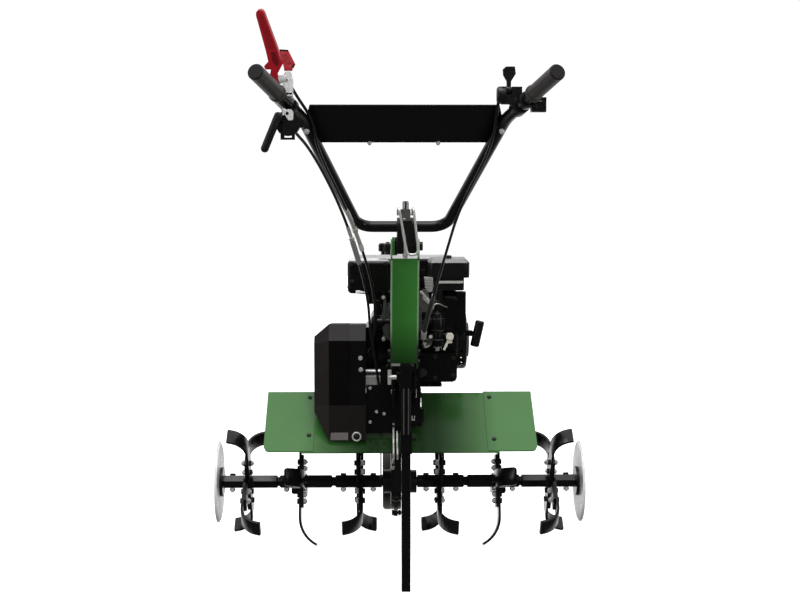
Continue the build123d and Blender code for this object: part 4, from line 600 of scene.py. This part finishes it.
routes = {
    "clutch": [V(-242, -718.5, 1168), V(-234, -696, 1146), V(-190, -640, 1080),
               under_arm(320, 21, 5, -1), under_arm(120, 21, 4, -1), V(-92, -336, 792),
               V(-66, -262, 690), V(-62, -214, 606), V(-70, -150, 540), V(-83, -96, 520)],
    "reverse": [V(-240, -718.5, 1072), V(-232, -690, 1062), under_arm(318, 29, -4, -1),
                under_arm(120, 29, -4, -1), V(-104, -346, 778), V(-80, -268, 672),
                V(-76, -214, 592), V(-62, -170, 500), V(-54, -140, 440)],
    "throttle": [V(196, -680, 1137), V(194, -671, 1112), under_arm(320, 21, -5, 1),
                 under_arm(110, 21, -4, 1), V(101, -300, 768), V(79, -200, 667), V(63, -110, 588),
                 V(58, -62, 546), V(70, -36, 534), V(86, -15, 540)],
}
lines = {k: spline_points(v) for k, v in routes.items()}


def cable_piece(name, build, mat):
    bm = bmesh.new()
    build(bm)
    o = piece(name, bm, mat, None, smooth=40)
    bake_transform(o)
    return o


for k in ("clutch", "reverse", "throttle"):
    o = cable_piece(k + "_cable_line", lambda bm: tube(bm, lines[k], 3.3), "sheath")
    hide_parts(k + "_cable")


def sleeve(z_hi, z_lo, k, r, ends=0.0):
    pts = stretch(lines[k], z_hi, z_lo)

    def build(bm):
        tube(bm, pts, (lambda t: r - (ends if t < 0.06 or t > 0.94 else 0.0)), 16)
    return build


cable_piece("clutch_adjuster", sleeve(890, 792, "clutch", 5.2, 0.8), "zinc")
cable_piece("clutch_adjuster_nut", sleeve(846, 836, "clutch", 7.0), "zinc")
cable_piece("clutch_ferrule", sleeve(806, 790, "clutch", 6.0, 0.7), "alu")
cable_piece("reverse_adjuster", sleeve(852, 822, "reverse", 4.4, 0.6), "zinc")
cable_piece("reverse_adjuster_nut", sleeve(826, 818, "reverse", 7.0), "zinc")
cable_piece("reverse_sleeve", sleeve(818, 758, "reverse", 6.4, 1.0), "grey")
cable_piece("throttle_sleeve", sleeve(668, 556, "throttle", 6.2, 1.2), "dark_grey")
cable_piece("throttle_ferrule", sleeve(572, 548, "throttle", 7.2, 1.0), "alu")

# ---------------------------------------------------------------------------
# Engine details
# ---------------------------------------------------------------------------
def rounded(cx, cy, w, h, r, n=8):
    out = []
    for sx, sy, a0 in ((1, 1, 0), (-1, 1, 90), (-1, -1, 180), (1, -1, 270)):
        for k in range(n + 1):
            a = math.radians(a0 + 90.0 * k / n)
            out.append((cx + sx * (w / 2 - r) + r * math.cos(a), cy + sy * (h / 2 - r) + r * math.sin(a)))
    return out


bm = bmesh.new()
for z0, z1, g in ((690.0, 692.2, 3.4), (692.2, 694.4, 3.4)):
    outer = rounded(15, 208, 272 + 2 * g, 156 + 2 * g, 34 + g, 10)
    inner = rounded(15, 208, 268, 152, 32, 10)
    n = len(outer)
    ring = [[bm.verts.new(V(x, y, z)) for x, y in pts] for pts, z in
            ((inner, z0), (outer, z0 + 0.3), (outer, z1 - 0.3), (inner, z1))]
    for p, q in zip(ring, ring[1:] + ring[:1]):
        for k in range(n):
            j = (k + 1) % n
            bm.faces.new((p[k], q[k], q[j], p[j]))
piece("tank_seam", bm, "black", "chassis")

bm = bmesh.new()
for k in range(28):
    a = 2 * math.pi * k / 28
    u, w = Vector((math.cos(a), math.sin(a), 0)), Vector((-math.sin(a), math.cos(a), 0))
    c = V(-26, 206, 754.5)
    pts = [c + u * 0.0264 + w * 0.0019, c + u * 0.0284 + w * 0.0011, c + u * 0.0284 - w * 0.0011,
           c + u * 0.0264 - w * 0.0019]
    prism(bm, pts, Vector((0, 0, 0.0172)))
piece("fuel_cap_ribs", bm, "plastic", "fuel_cap")

# muffler: seam, screws and the slot at its lower edge
bm = bmesh.new()
for z in (672.0,):
    outer = rounded(-79.5, 28, 109 + 3.0, 96 + 3.0, 12.5, 8)
    inner = rounded(-79.5, 28, 105, 92, 10, 8)
    n = len(outer)
    ring = [[bm.verts.new(V(x, y, zz)) for x, y in pts] for pts, zz in
            ((inner, z), (outer, z + 0.4), (outer, z + 2.2), (inner, z + 2.6))]
    for p, q in zip(ring, ring[1:] + ring[:1]):
        for k in range(n):
            j = (k + 1) % n
            bm.faces.new((p[k], q[k], q[j], p[j]))
piece("muffler_seam", bm, "black", "chassis")
bm = bmesh.new()
prism(bm, [V(-113, -20.8, 667), V(-106, -20.8, 667.5), V(-86, -20.8, 662.5), V(-86, -20.8, 660.8),
           V(-113, -20.8, 660.8)], Vector((0, 0.002, 0)))
piece("muffler_bright_lip", bm, "galv", "chassis", bevel=0.4)
bm = bmesh.new()
for x, z in ((-122, 735), (-37, 735), (-122, 690)):
    bolt(bm, V(x, -19.8, z), (0, -1, 0), 7.0, 4.0, 5.5, 1.2)
piece("muffler_screws", bm, "black_bolt", "chassis")

# air cleaner: bright band
bm = bmesh.new()
prism(bm, [V(100, 9, 689.2), V(164, 9, 689.2), V(166, 9, 686), V(164, 9, 682.4), V(100, 9, 682.4),
           V(98, 9, 686)], Vector((0, -0.0035, 0)))
piece("air_cleaner_band", bm, "bright", "chassis", bevel=0.8)

# intake elbow, governor bracket with its spring, link rod
bm = bmesh.new()
prism(bm, [V(63, -7, 699), V(86, -7, 699), V(87, -7, 676), V(84, -7, 661), V(70, -7, 661), V(66, -7, 672)],
      Vector((0, 0.030, 0)))
for z in (666, 673, 680, 687, 694):
    box(bm, 65.0, 84.5, -8.6, -6.5, z - 1.1, z + 1.1)
piece("intake_elbow", bm, "grey", "chassis", bevel=1.2)
bm = bmesh.new()
prism(bm, [V(46, -26, 612), V(76, -26, 612), V(76, -26, 652), V(70, -26, 668), V(60, -26, 672), V(48, -26, 660)],
      Vector((0, 0.0025, 0)))
box(bm, 46.0, 76.0, -26.0, -4.0, 612.0, 615.0)
piece("governor_bracket", bm, "dark_grey", "chassis", bevel=0.6)
bm = bmesh.new()
for k, (a, b) in enumerate(((V(54, -30, 664), V(73, -30, 642)),)):
    d = (b - a).normalized()
    u = d.orthogonal().normalized()
    w = d.cross(u)
    turns, m = 8, 8 * 14
    pts = [a + (b - a) * (i / m) + (u * math.cos(2 * math.pi * turns * i / m)
                                    + w * math.sin(2 * math.pi * turns * i / m)) * 0.0034
           for i in range(m + 1)]
    tube(bm, pts, 0.8, 8)
for p in (V(54, -30, 664), V(73, -30, 642)):
    rod(bm, p, p + Vector((0, 0.006, 0)), 2.4, 14)
    bolt(bm, p + Vector((0, -0.0035, 0)), (0, -1, 0), 6.0, 2.6)
piece("governor_spring", bm, "chrome", "chassis")
bm = bmesh.new()
prism(bm, [V(57, -29.5, 650), V(62, -29.5, 654), V(77, -29.5, 640), V(75, -29.5, 632), V(70, -29.5, 634)],
      Vector((0, 0.0022, 0)))
rod(bm, V(64, -30, 645), V(64, -25, 645), 4.2)
piece("governor_lever", bm, "zinc", "chassis", bevel=0.5)
bm = bmesh.new()
tube(bm, spline_points([V(86, -13, 617), V(88, -14.5, 632), V(104, -9, 631), V(118, 10, 621), V(124, 23, 619)]), 1.3, 10)
piece("throttle_link", bm, "chrome", "chassis")

# fuel tap lever and the bowl's drain
paint("carburetor", "cream", lambda c, n: c.x > 121.5 and c.z < 556)
bm = bmesh.new()
turned(bm, V(98, 3, 520.4), (0, 0, -1), [(0, 13), (3, 12), (6, 6), (9, 6), (10.5, 4.5)], 24)
bolt(bm, V(98, 3, 511), (0, 0, -1), 9.0, 4.0)
piece("float_bowl_drain", bm, "zinc", "chassis")
# rings on the float bowl, in lighter grey as a painted highlight
bm = bmesh.new()
for z in (536.0, 561.0):
    turned(bm, V(98, 3, z), (0, 0, 1), [(0, 17.1), (0.4, 17.8), (2.2, 17.8), (2.6, 17.1)], 32)
piece("float_bowl_rings_painted_highlight", bm, "dark_grey", "chassis")
bm = bmesh.new()
turned(bm, V(98, 3, 563), (0, 0, 1), [(0, 17.5), (2, 20.8), (28, 20.8), (31, 19.0), (43, 19.0), (45, 17.0),
                                      (45, 9.0), (52, 9.0), (53, 8.0)], 40)
piece("carburetor_bell", bm, "engine", "chassis")
# a ring and a short rod on the carburettor, in lighter grey as a painted highlight
bm = bmesh.new()
turned(bm, V(98, 3, 591.2), (0, 0, 1), [(0, 19.5), (0.4, 20.2), (1.8, 20.2), (2.2, 19.0)], 40)
rod(bm, V(97, -16.5, 600), V(97, -16.5, 613), 1.3, 10)
piece("carburetor_trim_painted_highlight", bm, "dark_grey", "chassis")
bm = bmesh.new()
prism(bm, [V(112, -5.4, 511), V(117, -5.4, 509), V(126, -5.4, 527), V(131, -5.4, 533), V(124, -5.4, 537),
           V(119, -5.4, 527)], Vector((0, 0.005, 0)))
turned(bm, V(130, -5.2, 545), (0, -1, 0), [(0, 10.5), (2.4, 10.5), (3.6, 9.0), (3.6, 3.0), (3.0, 2.4)], 28)
piece("fuel_tap_lever", bm, "cream", "chassis", bevel=0.8)
# throttle cable end: bracket on the carburettor, clamp screw and return spring
bm = bmesh.new()
prism(bm, [V(56, -18, 524), V(62, -18, 516), V(74, -18, 517), V(82, -18, 526), V(86, -18, 540), V(86, -18, 552),
           V(79, -18, 554), V(73, -18, 543), V(60, -18, 538)], Vector((0, 0.0022, 0)))
box(bm, 79.0, 86.0, -17.0, 0.0, 541.0, 552.0)
piece("throttle_bracket", bm, "dark_grey", "chassis", bevel=0.5)
bm = bmesh.new()
bolt(bm, V(64, -18.2, 530), (0, -1, 0), 7.0, 3.5, 4.8, 1.0)
bolt(bm, V(79, -18.2, 546), (0, -1, 0), 6.0, 3.5, 4.4, 1.0)
rod(bm, V(57, -20.2, 545), V(66, -20.2, 519), 1.4, 14)
rod(bm, V(66, -20.2, 519), V(77, -20.2, 524), 1.4, 12)
piece("throttle_bracket_screws", bm, "bright", "chassis")
# stay between the muffler and the crankcase
bm = bmesh.new()
strap = [(-42, 654), (-38, 640), (-41, 606), (-40.5, 572), (-38, 552), (-41, 536)]
edge = [V(x + 3.6, -9.6, z) for x, z in strap] + [V(x - 3.6, -9.6, z) for x, z in reversed(strap)]
prism(bm, edge, Vector((0, 0.0025, 0)))
for x, z in ((-42, 648), (-41, 540)):
    turned(bm, V(x, -9.8, z), (0, 1, 0), [(0, 6.4), (0.3, 7.0), (2.4, 7.0), (2.7, 6.4)], 28)
rod(bm, V(-41, -9, 540), V(-41, 56, 540), 4.0, 16)
rod(bm, V(-42, -9, 648), V(-42, 2, 648), 4.5, 16)
piece("muffler_stay", bm, "dark_grey", "chassis", bevel=0.5)
bm = bmesh.new()
bolt(bm, V(-42, -9.6, 648), (0, -1, 0), 6.0, 3.6, 4.6, 1.0)
bolt(bm, V(-41, -9.6, 540), (0, -1, 0), 6.0, 3.6, 5.4, 1.0)
piece("muffler_stay_bolts", bm, "bright", "chassis")

# bolts on the crankcase, the blower housing and the recoil cover
bm = bmesh.new()
for x, z in ((-58, 436), (-58, 560)):
    bolt(bm, V(x, 55.4, z), (0, -1, 0), 10.0, 6.0, 7.0)
for x, z in ((140, 440), (140, 486), (92, 434), (92, 490)):
    bolt(bm, V(x, 12.2, z), (0, -1, 0), 8.0, 4.0, 6.0, 1.2)
piece("crankcase_bolts", bm, "black_bolt", "chassis")

# ---------------------------------------------------------------------------
# Belt cover and the parts beside it
# ---------------------------------------------------------------------------
bm = bmesh.new()
prism(bm, [V(-129.6, -139.0, 392), V(-129.6, -139.0, 552), V(-126.6, -139.0, 552), V(-126.6, -139.0, 392)],
      Vector((0, -0.0030, 0)))
piece("belt_cover_lip", bm, "cover", "chassis", bevel=1.0)
bm = bmesh.new()
for x, z in ((-100, 508), (-99, 479)):
    bolt(bm, V(x, -139.0, z), (0, -1, 0), 8.0, 5.0, 5.8, 1.2)
for x, z in ((-76, 432), (-76, 346), (-60, 372), (-41, 367)):
    bolt(bm, V(x, -134.9, z), (0, -1, 0), 6.0, 3.6, 4.2, 1.0)
piece("back_plate_bolts", bm, "zinc", "chassis")
bm = bmesh.new()
prism(bm, [V(-176, -151.8, 303.5), V(-131, -151.8, 303.5), V(-131, -149.2, 322), V(-174, -149.2, 322)],
      Vector((0, -0.0012, 0)))
piece("cover_foot_plate", bm, "tape", "chassis", bevel=0.4)
bm = bmesh.new()
ring = [V(-110 + 10.0 * math.cos(t), -151.4, 312 + 10.0 * math.sin(t))
        for t in [2 * math.pi * k / 48 for k in range(49)]]
tube(bm, ring, 2.0, 12)
piece("cover_ring", bm, "bright", "chassis")
bm = bmesh.new()
bolt(bm, V(-110, -150.6, 312), (0, -1, 0), 8.0, 4.0, 7.0, 1.2)
piece("cover_ring_bolt", bm, "black_bolt", "chassis")
bm = bmesh.new()
prism(bm, [V(-24, -135.2, 428), V(-14, -135.2, 430), V(-15, -135.2, 426), V(-19, -135.2, 424), V(-17, -135.2, 405),
           V(-20, -135.2, 402), V(-23, -135.2, 420)], Vector((0, -0.0022, 0)))
prism(bm, [V(40, -135.2, 430), V(31, -135.2, 430), V(31, -135.2, 426), V(36, -135.2, 423), V(38, -135.2, 408),
           V(41, -135.2, 408)], Vector((0, -0.0022, 0)))
prism(bm, [V(28, -135.0, 362), V(30, -135.0, 362), V(30, -135.0, 353), V(34, -135.0, 353), V(34, -135.0, 362),
           V(36, -135.0, 362), V(36, -135.0, 350), V(28, -135.0, 350)], Vector((0, -0.002, 0)))
piece("bracket_clips", bm, "bright", "chassis", bevel=0.4)
bm = bmesh.new()
prism(bm, [V(-87.5, -131, 437), V(-50, -131, 437), V(-50, -131, 458), V(-54, -131, 462), V(-87.5, -131, 462)],
      Vector((0, 0.020, 0)))
piece("cover_stay", bm, "grey", "chassis", bevel=1.5)

# starter rope: a short piece where it runs out of its guide
bm = bmesh.new()
tube(bm, [V(175.5 + 0.3 * i, 74.5 - 0.3 * i, 546) for i in range(25)], 2.6, 14)
o = piece("starter_rope", bm, "rubber", None)
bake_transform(o)

# ---------------------------------------------------------------------------
# Drive belts: V section, the upper span in two straight pieces that meet on the line between the pulleys
# ---------------------------------------------------------------------------
WHEELS = (((135.0, 520.0), 32.0), ((-60.0, 460.0), 64.0))
gap = Vector((WHEELS[0][0][0] - WHEELS[1][0][0], WHEELS[0][0][1] - WHEELS[1][0][1]))
lean = math.acos((WHEELS[1][1] - WHEELS[0][1]) / gap.length)
base = math.atan2(gap.y, gap.x)
UP, DOWN = base + lean, base - lean


def rim(k, a):
    """The belt's outer and inner point on pulley k at angle a, as (y, z)."""
    (y, z), r = WHEELS[k]
    return [(y + (r + t) * math.cos(a), z + (r + t) * math.sin(a)) for t in (8.5, 0.5)]


def between(p, q, n):
    return [[tuple(u + (v - u) * i / n for u, v in zip(p[k], q[k])) for k in (0, 1)] for i in range(n + 1)]


def belt(bm, path):
    """Two V belts along a path of outer and inner points."""
    for x in (-165.0, -147.0):
        rows = []
        for o, i in path:
            rows.append([bm.verts.new(V(x + w, *q)) for w, q in ((-6.1, o), (6.1, o), (4.4, i), (-4.4, i))])
        for a, b in zip(rows, rows[1:]):
            for k in range(4):
                j = (k + 1) % 4
                bm.faces.new((a[k], a[j], b[j], b[k]))
        bm.faces.new(rows[0])
        bm.faces.new(reversed(rows[-1]))


front, rear = rim(0, UP), rim(1, UP)
share = (front[0][0] - 45.0) / (front[0][0] - rear[0][0])
top = [tuple(u + (v - u) * share for u, v in zip(front[k], rear[k])) for k in (0, 1)]
bm = bmesh.new()
path = [rim(0, UP + (DOWN - UP) * i / 36) for i in range(37)]
path += between(path[-1], rim(1, DOWN), 12)[1:]
path += [rim(1, DOWN + (UP - 2 * math.pi - DOWN) * i / 44) for i in range(1, 45)]
belt(bm, path)
loops = piece("belt_loops", bm, "tyre", "chassis", smooth=50)
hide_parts("drive_belts")
for name, end in (("belt_span_front", front), ("belt_span_rear", rear)):
    bm = bmesh.new()
    belt(bm, between(end, top, 28))
    o = piece(name, bm, "tyre", None, smooth=50)
    a, b = V(-156.0, *end[1]), V(-156.0, *top[1])
    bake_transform(o)

# ---------------------------------------------------------------------------
# Mud guard bolts
# ---------------------------------------------------------------------------
GN = Vector((0, -0.667, 1.0)).normalized()
bm = bmesh.new()
for x, y in ((232, -12), (235, -140), (-230, -127), (-232, -12), (35, -137)):
    p = V(x, y, 277 + 0.66667 * (y + 175)) + GN * 0.0002
    bolt(bm, p, GN, 10.0, 4.5, 7.5)
piece("guard_bolts", bm, "black_bolt", "chassis")

# ---------------------------------------------------------------------------
# Clamp details
# ---------------------------------------------------------------------------
bm = bmesh.new()
prism(bm, [V(-1, -379.4, 862), V(22, -379.4, 862), V(37, -379.4, 806), V(13, -379.4, 803)],
      Vector((0, -0.0065, 0)))
piece("clamp_handle", bm, "plastic", "clamp_lever", bevel=1.6)
bm = bmesh.new()
for x0, x1 in ((SX - 7.5, SX - 1.5), (SX + 1.5, SX + 7.5)):
    box(bm, x0, x1, -364.2, -355.8, 884.0, 903.5)
piece("clamp_strap", bm, "grey", "handlebar", bevel=0.8)
bm = bmesh.new()
prism(bm, [V(-3, -377, 872), V(-1, -377, 887), V(17, -377, 887), V(19, -377, 872), V(19, -377, 857), V(-3, -377, 857)],
      Vector((0, 0.0015, 0)))
piece("clamp_block_face", bm, "dark_grey", "handlebar", bevel=0.6)
bm = bmesh.new()
rod(bm, V(4.5, -379.0, 866), V(7.0, -352.0, 781), 2.6)
turned(bm, V(7.0, -352.0, 781), Vector((2.5, 27, -85)), [(-2, 6.5), (4, 6.5), (5, 5.5), (9, 5.5), (10, 4)], 6)
piece("clamp_screw", bm, "chrome", "handlebar")
# small zinc rivets on the crossbar, which also stand for a painted glint on the tube's corner
bm = bmesh.new()
for sx in (-1, 1):
    bolt(bm, V(sx * 101, CROSS[0] - 11.6, CROSS[1] + 2), (0, -1, 0.15), 7.0, 3.0, 5.0, 1.0)
piece("crossbar_rivets_and_glint", bm, "zinc", "handlebar")

# guard stay: two bent rods over the guard's rear edge, one with a flattened foot on the gearbox
bm = bmesh.new()
tube(bm, spline_points([V(-17.6, -137.4, 343), V(-17.6, -137.8, 322), V(-17.8, -148, 299.4), V(-18, -172, 283.2),
                        V(-18, -181.5, 275), V(-18, -180, 264), V(-18.2, -150, 248), V(-18.4, -118, 240),
                        V(-18.4, -86.4, 236)]), 2.5, 14)
tube(bm, spline_points([V(-8.6, -137.4, 324), V(-8.6, -138.4, 316), V(-8.6, -148, 299.4), V(-8.4, -172, 283.2),
                        V(-8.2, -181.5, 275), V(-8.2, -180, 266), V(-8.2, -170, 259)]), 2.2, 14)
prism(bm, [V(-17.0, -85.2, 246), V(-20.0, -85.2, 246), V(-23.0, -84.2, 236), V(-23.0, -82.6, 218), V(-20.5, -82.2, 213),
           V(-16.5, -82.2, 213), V(-14.0, -82.6, 218), V(-14.0, -84.2, 236)], Vector((0, -0.0030, 0)))
piece("guard_stay", bm, "zinc", "chassis")
bm = bmesh.new()
bolt(bm, V(-18.5, -86.4, 226), (0, -1, 0), 6.0, 3.2)
bolt(bm, V(-17.6, -139.8, 336), (0, -1, 0), 6.0, 3.0)
piece("guard_stay_bolts", bm, "black_bolt", "chassis")
# folded lip under the bracket's skirt
bm = bmesh.new()
prism(bm, [V(24, -135.2, 349), V(24, -135.2, 334), V(52, -135.2, 334), V(58, -135.2, 349)], Vector((0, 0.004, 0)))
piece("skirt_lip", bm, "black", "chassis", bevel=0.8)
# two thin rods on the stake holder's rails, in lighter grey as a painted highlight of its glossy edges
bm = bmesh.new()
for x in (2.6, 13.4):
    rod(bm, V(x, -434.6, 372), V(x, -434.6, 478), 1.6, 14)
piece("holder_rails_painted_highlight", bm, "dark_grey", "chassis")
bm = bmesh.new()
box(bm, -24.0, 4.0, -198.0, -188.0, 496.5, 503.0)
piece("bracket_step", bm, "grey", "chassis", bevel=0.8)

# ---------------------------------------------------------------------------
# Handlebar: panel bolts, the clutch lever's bracket and the pieces on the lever and its lock
# ---------------------------------------------------------------------------
bm = bmesh.new()
for s in (-1, 1):
    p = Vector((102.0 + ARM.x * 368, CROSS[0] + ARM.y * 368, CROSS[1] + ARM.z * 368))
    p = V(s * p.x, p.y, p.z) + ARM_N * 0.0126
    bolt(bm, p, ARM_N, 9.0, 5.0, 6.5)
bolt(bm, V(-74, -562.5, 1036.5), ARM_N, 7.0, 4.0, 5.0, 1.0)
bolt(bm, V(74, -562.5, 1036.5), ARM_N, 7.0, 4.0, 5.0, 1.0)
piece("panel_bolts", bm, "bright", "handlebar")



def grip_point(t, sign):
    q = [BEND[k] + (GRIP_END[k] - BEND[k]) * t for k in range(3)]
    return V(sign * q[0], q[1], q[2])


# die-cast bracket of the clutch lever: a saddle behind the tube, a plate above it and one below
bm = bmesh.new()
prism(bm, [V(-243, -747.5, 1177.5), V(-232, -747.5, 1177.0), V(-228, -747.5, 1160), V(-228.5, -747.5, 1128),
           V(-242, -747.5, 1127), V(-249, -747.5, 1146), V(-248.5, -747.5, 1166)], Vector((0, 0.025, 0)))
axis = grip_point(1, -1) - grip_point(0, -1)
axis.normalize()
seat = grip_point(0.41, -1)
away = (Vector((0, 1, 0)) - axis * axis.y).normalized()
side_v = axis.cross(away)
arc = [math.radians(a) for a in range(-115, 116, 10)]
outer = [seat - axis * 0.015 + (away * math.cos(a) + side_v * math.sin(a)) * 0.018 for a in arc]
inner = [seat - axis * 0.015 + (away * math.cos(a) + side_v * math.sin(a)) * 0.01305 for a in reversed(arc)]
prism(bm, outer + inner, axis * 0.030)
prism(bm, [V(-246, -756.5, 1101), V(-231, -756.5, 1101), V(-226.5, -756.5, 1095), V(-227, -756.5, 1080),
           V(-236, -756.5, 1078), V(-243, -756.5, 1088)], Vector((0, 0.0075, 0)))
box(bm, -249.0, -243.5, -756.0, -722.0, 1089.0, 1103.0)
lever_axis = Vector((-0.947317, 0.285099, -0.145979))
boss = V(-262, -738, 1160)
turned(bm, boss - lever_axis * 0.0240, lever_axis, [(0, 7.6), (0.8, 8.6), (15.7, 8.6), (16.5, 7.8), (16.5, 4.2)], 32)
casting = piece("bracket_casting", bm, "alu", "handlebar", bevel=2.2)
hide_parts("lever_bracket")
# painted shade: thin darker red panels on the clutch lever's face; dark strips on the lock's upper edge and lower right
# edge
lever_dir = Vector((-39.0, -62.0, 132.0)).normalized()
face = lever_axis.cross(lever_dir)


def on_lever(u, v):
    return boss + (lever_axis * u + lever_dir * v - face * 4.4) / 1000.0


for name, mat, outline in (("clutch_lever_painted_soft_shade", "red_mid", [(-7, 68), (-20, 68), (-18, 136), (-15, 143), (-10.5, 143),
                                                              (-8, 136)]),
                           ("clutch_lever_painted_shade", "red_dark", [(-7, 40), (-9, 62), (-19, 62), (-20, 38), (-13, 30)])):
    bm = bmesh.new()
    prism(bm, [on_lever(u, v) for u, v in outline], face * -0.0007)
    piece(name, bm, mat, "clutch_lever", bevel=0.3)
bm = bmesh.new()
prism(bm, [V(-254.6, -737.4, 1218.5), V(-236.4, -737.4, 1217.5), V(-237.2, -737.4, 1221.0), V(-254.9, -737.4, 1222.0)],
      Vector((0, 0.012, 0)))
prism(bm, [V(-223.4, -737.4, 1192.5), V(-227.2, -737.4, 1184.6), V(-231.0, -737.4, 1184.6), V(-226.6, -737.4, 1194.5)],
      Vector((0, 0.012, 0)))
piece("clutch_lock_dark_strips", bm, "plastic", "clutch_lock", bevel=0.5)
# painted shade: a darker red panel on the lock's face
bm = bmesh.new()
prism(bm, [V(-249, -736.8, 1213), V(-240, -736.8, 1213), V(-230.5, -736.8, 1194), V(-243, -736.8, 1190)],
      Vector((0, -0.0007, 0)))
piece("clutch_lock_painted_shade", bm, "red_mid", "clutch_lock", bevel=0.3)
bm = bmesh.new()
bolt(bm, V(-241, -747.4, 1160), (0, -1, 0), 6.0, 2.6)
bolt(bm, V(-239, -756.4, 1093), (0, -1, 0), 6.0, 2.6)
box(bm, -246.0, -229.5, -748.2, -747.0, 1131.0, 1134.5)
piece("bracket_screws", bm, "black_bolt", "handlebar")

# ---------------------------------------------------------------------------
# Floor, light and camera
# ---------------------------------------------------------------------------
mesh = bpy.data.meshes.new("floor")
mesh.from_pydata([(-8, -1.4, 0), (8, -1.4, 0), (8, 9, 0), (-8, 9, 0)], [], [(0, 1, 2, 3)])
floor = bpy.data.objects.new("floor", mesh)
bpy.context.scene.collection.objects.link(floor)
fm = material("pale_floor", (0.80, 0.80, 0.80), 0.9, spec=0.1)
fm.node_tree.nodes["Principled BSDF"].inputs["Emission Color"].default_value = (1, 1, 1, 1)
fm.node_tree.nodes["Principled BSDF"].inputs["Emission Strength"].default_value = 0.85
floor.data.materials.append(fm)
floor.visible_glossy = False
floor.visible_diffuse = False

world = bpy.data.worlds.new("studio")
bpy.context.scene.world = world
world.use_nodes = True
nt = world.node_tree
back = nt.nodes["Background"]
tc = nt.nodes.new("ShaderNodeTexCoord")
sep = nt.nodes.new("ShaderNodeSeparateXYZ")
nt.links.new(tc.outputs["Generated"], sep.inputs["Vector"])


def curve(source, stops):
    r = nt.nodes.new("ShaderNodeValToRGB")
    k = nt.nodes.new("ShaderNodeMapRange")
    k.inputs["From Min"].default_value = -1.0
    k.inputs["From Max"].default_value = 1.0
    nt.links.new(source, k.inputs["Value"])
    nt.links.new(k.outputs["Result"], r.inputs["Fac"])
    e = r.color_ramp.elements
    while len(e) < len(stops):
        e.new(0.5)
    for item, (p, v) in zip(e, stops):
        item.position = (p + 1) / 2
        item.color = (v, v, v, 1)
    return r.outputs["Color"]


# overhead bright, the far side a lit white backdrop, the camera's side dark
up = curve(sep.outputs["Z"], [(-1.0, 0.08), (-0.35, 0.06), (-0.12, 0.02), (0.12, 0.02), (0.42, 0.10), (0.68, 0.70), (1.0, 1.0)])
far = curve(sep.outputs["Y"], [(-1.0, 0.0), (0.20, 0.0), (0.60, 0.45), (0.93, 0.80), (1.0, 1.0)])
add = nt.nodes.new("ShaderNodeMix")
add.data_type = "RGBA"
add.blend_type = "LIGHTEN"
add.inputs["Factor"].default_value = 1.0
nt.links.new(up, add.inputs["A"])
nt.links.new(far, add.inputs["B"])
seen = nt.nodes.new("ShaderNodeBackground")
seen.inputs["Color"].default_value = (1, 1, 1, 1)
seen.inputs["Strength"].default_value = 1.05
nt.links.new(add.outputs["Result"], back.inputs["Color"])
back.inputs["Strength"].default_value = 1.3
path = nt.nodes.new("ShaderNodeLightPath")
pick = nt.nodes.new("ShaderNodeMixShader")
nt.links.new(path.outputs["Is Camera Ray"], pick.inputs["Fac"])
nt.links.new(back.outputs["Background"], pick.inputs[1])
nt.links.new(seen.outputs["Background"], pick.inputs[2])
nt.links.new(pick.outputs["Shader"], nt.nodes["World Output"].inputs["Surface"])


def area(name, at, to, size, power, colour=(1, 1, 1)):
    d = bpy.data.lights.new(name, "AREA")
    d.shape = "RECTANGLE"
    d.size, d.size_y = size
    d.energy = power
    d.color = colour
    o = bpy.data.objects.new(name, d)
    bpy.context.scene.collection.objects.link(o)
    o.location = at
    o.rotation_mode = "QUATERNION"
    o.rotation_quaternion = (Vector(to) - Vector(at)).to_track_quat("-Z", "Y")
    return o


area("top_soft", (-0.3, -0.7, 3.4), (0, 0.1, 0.5), (2.4, 1.4), 38)
area("left_strip", (-3.2, -1.6, 1.6), (0, 0, 0.6), (0.7, 2.2), 16)
area("right_strip", (3.0, -2.2, 1.8), (0, 0, 0.6), (0.5, 2.0), 12)
fill = area("front_fill", (0.25, -3.4, 1.3), (0, 0, 0.75), (1.8, 1.4), 62)
fill.visible_glossy = False

camera = bpy.data.cameras.new("camera")
cam = bpy.data.objects.new("camera", camera)
bpy.context.scene.collection.objects.link(cam)
bpy.context.scene.camera = cam
camera.sensor_width = 36.0
camera.lens = 1412.0 * 36.0 / 800.0
camera.clip_start, camera.clip_end = 0.05, 200.0
cam.location = V(-58.0, -3631.0, 995.0)
yaw, pitch = math.radians(0.93), math.radians(5.58)
forward = Vector((math.sin(yaw) * math.cos(pitch), math.cos(yaw) * math.cos(pitch), -math.sin(pitch)))
cam.rotation_mode = "QUATERNION"
cam.rotation_quaternion = forward.to_track_quat("-Z", "Y")

bpy.context.scene.view_settings.view_transform = "Standard"
bpy.context.scene.view_settings.look = "None"
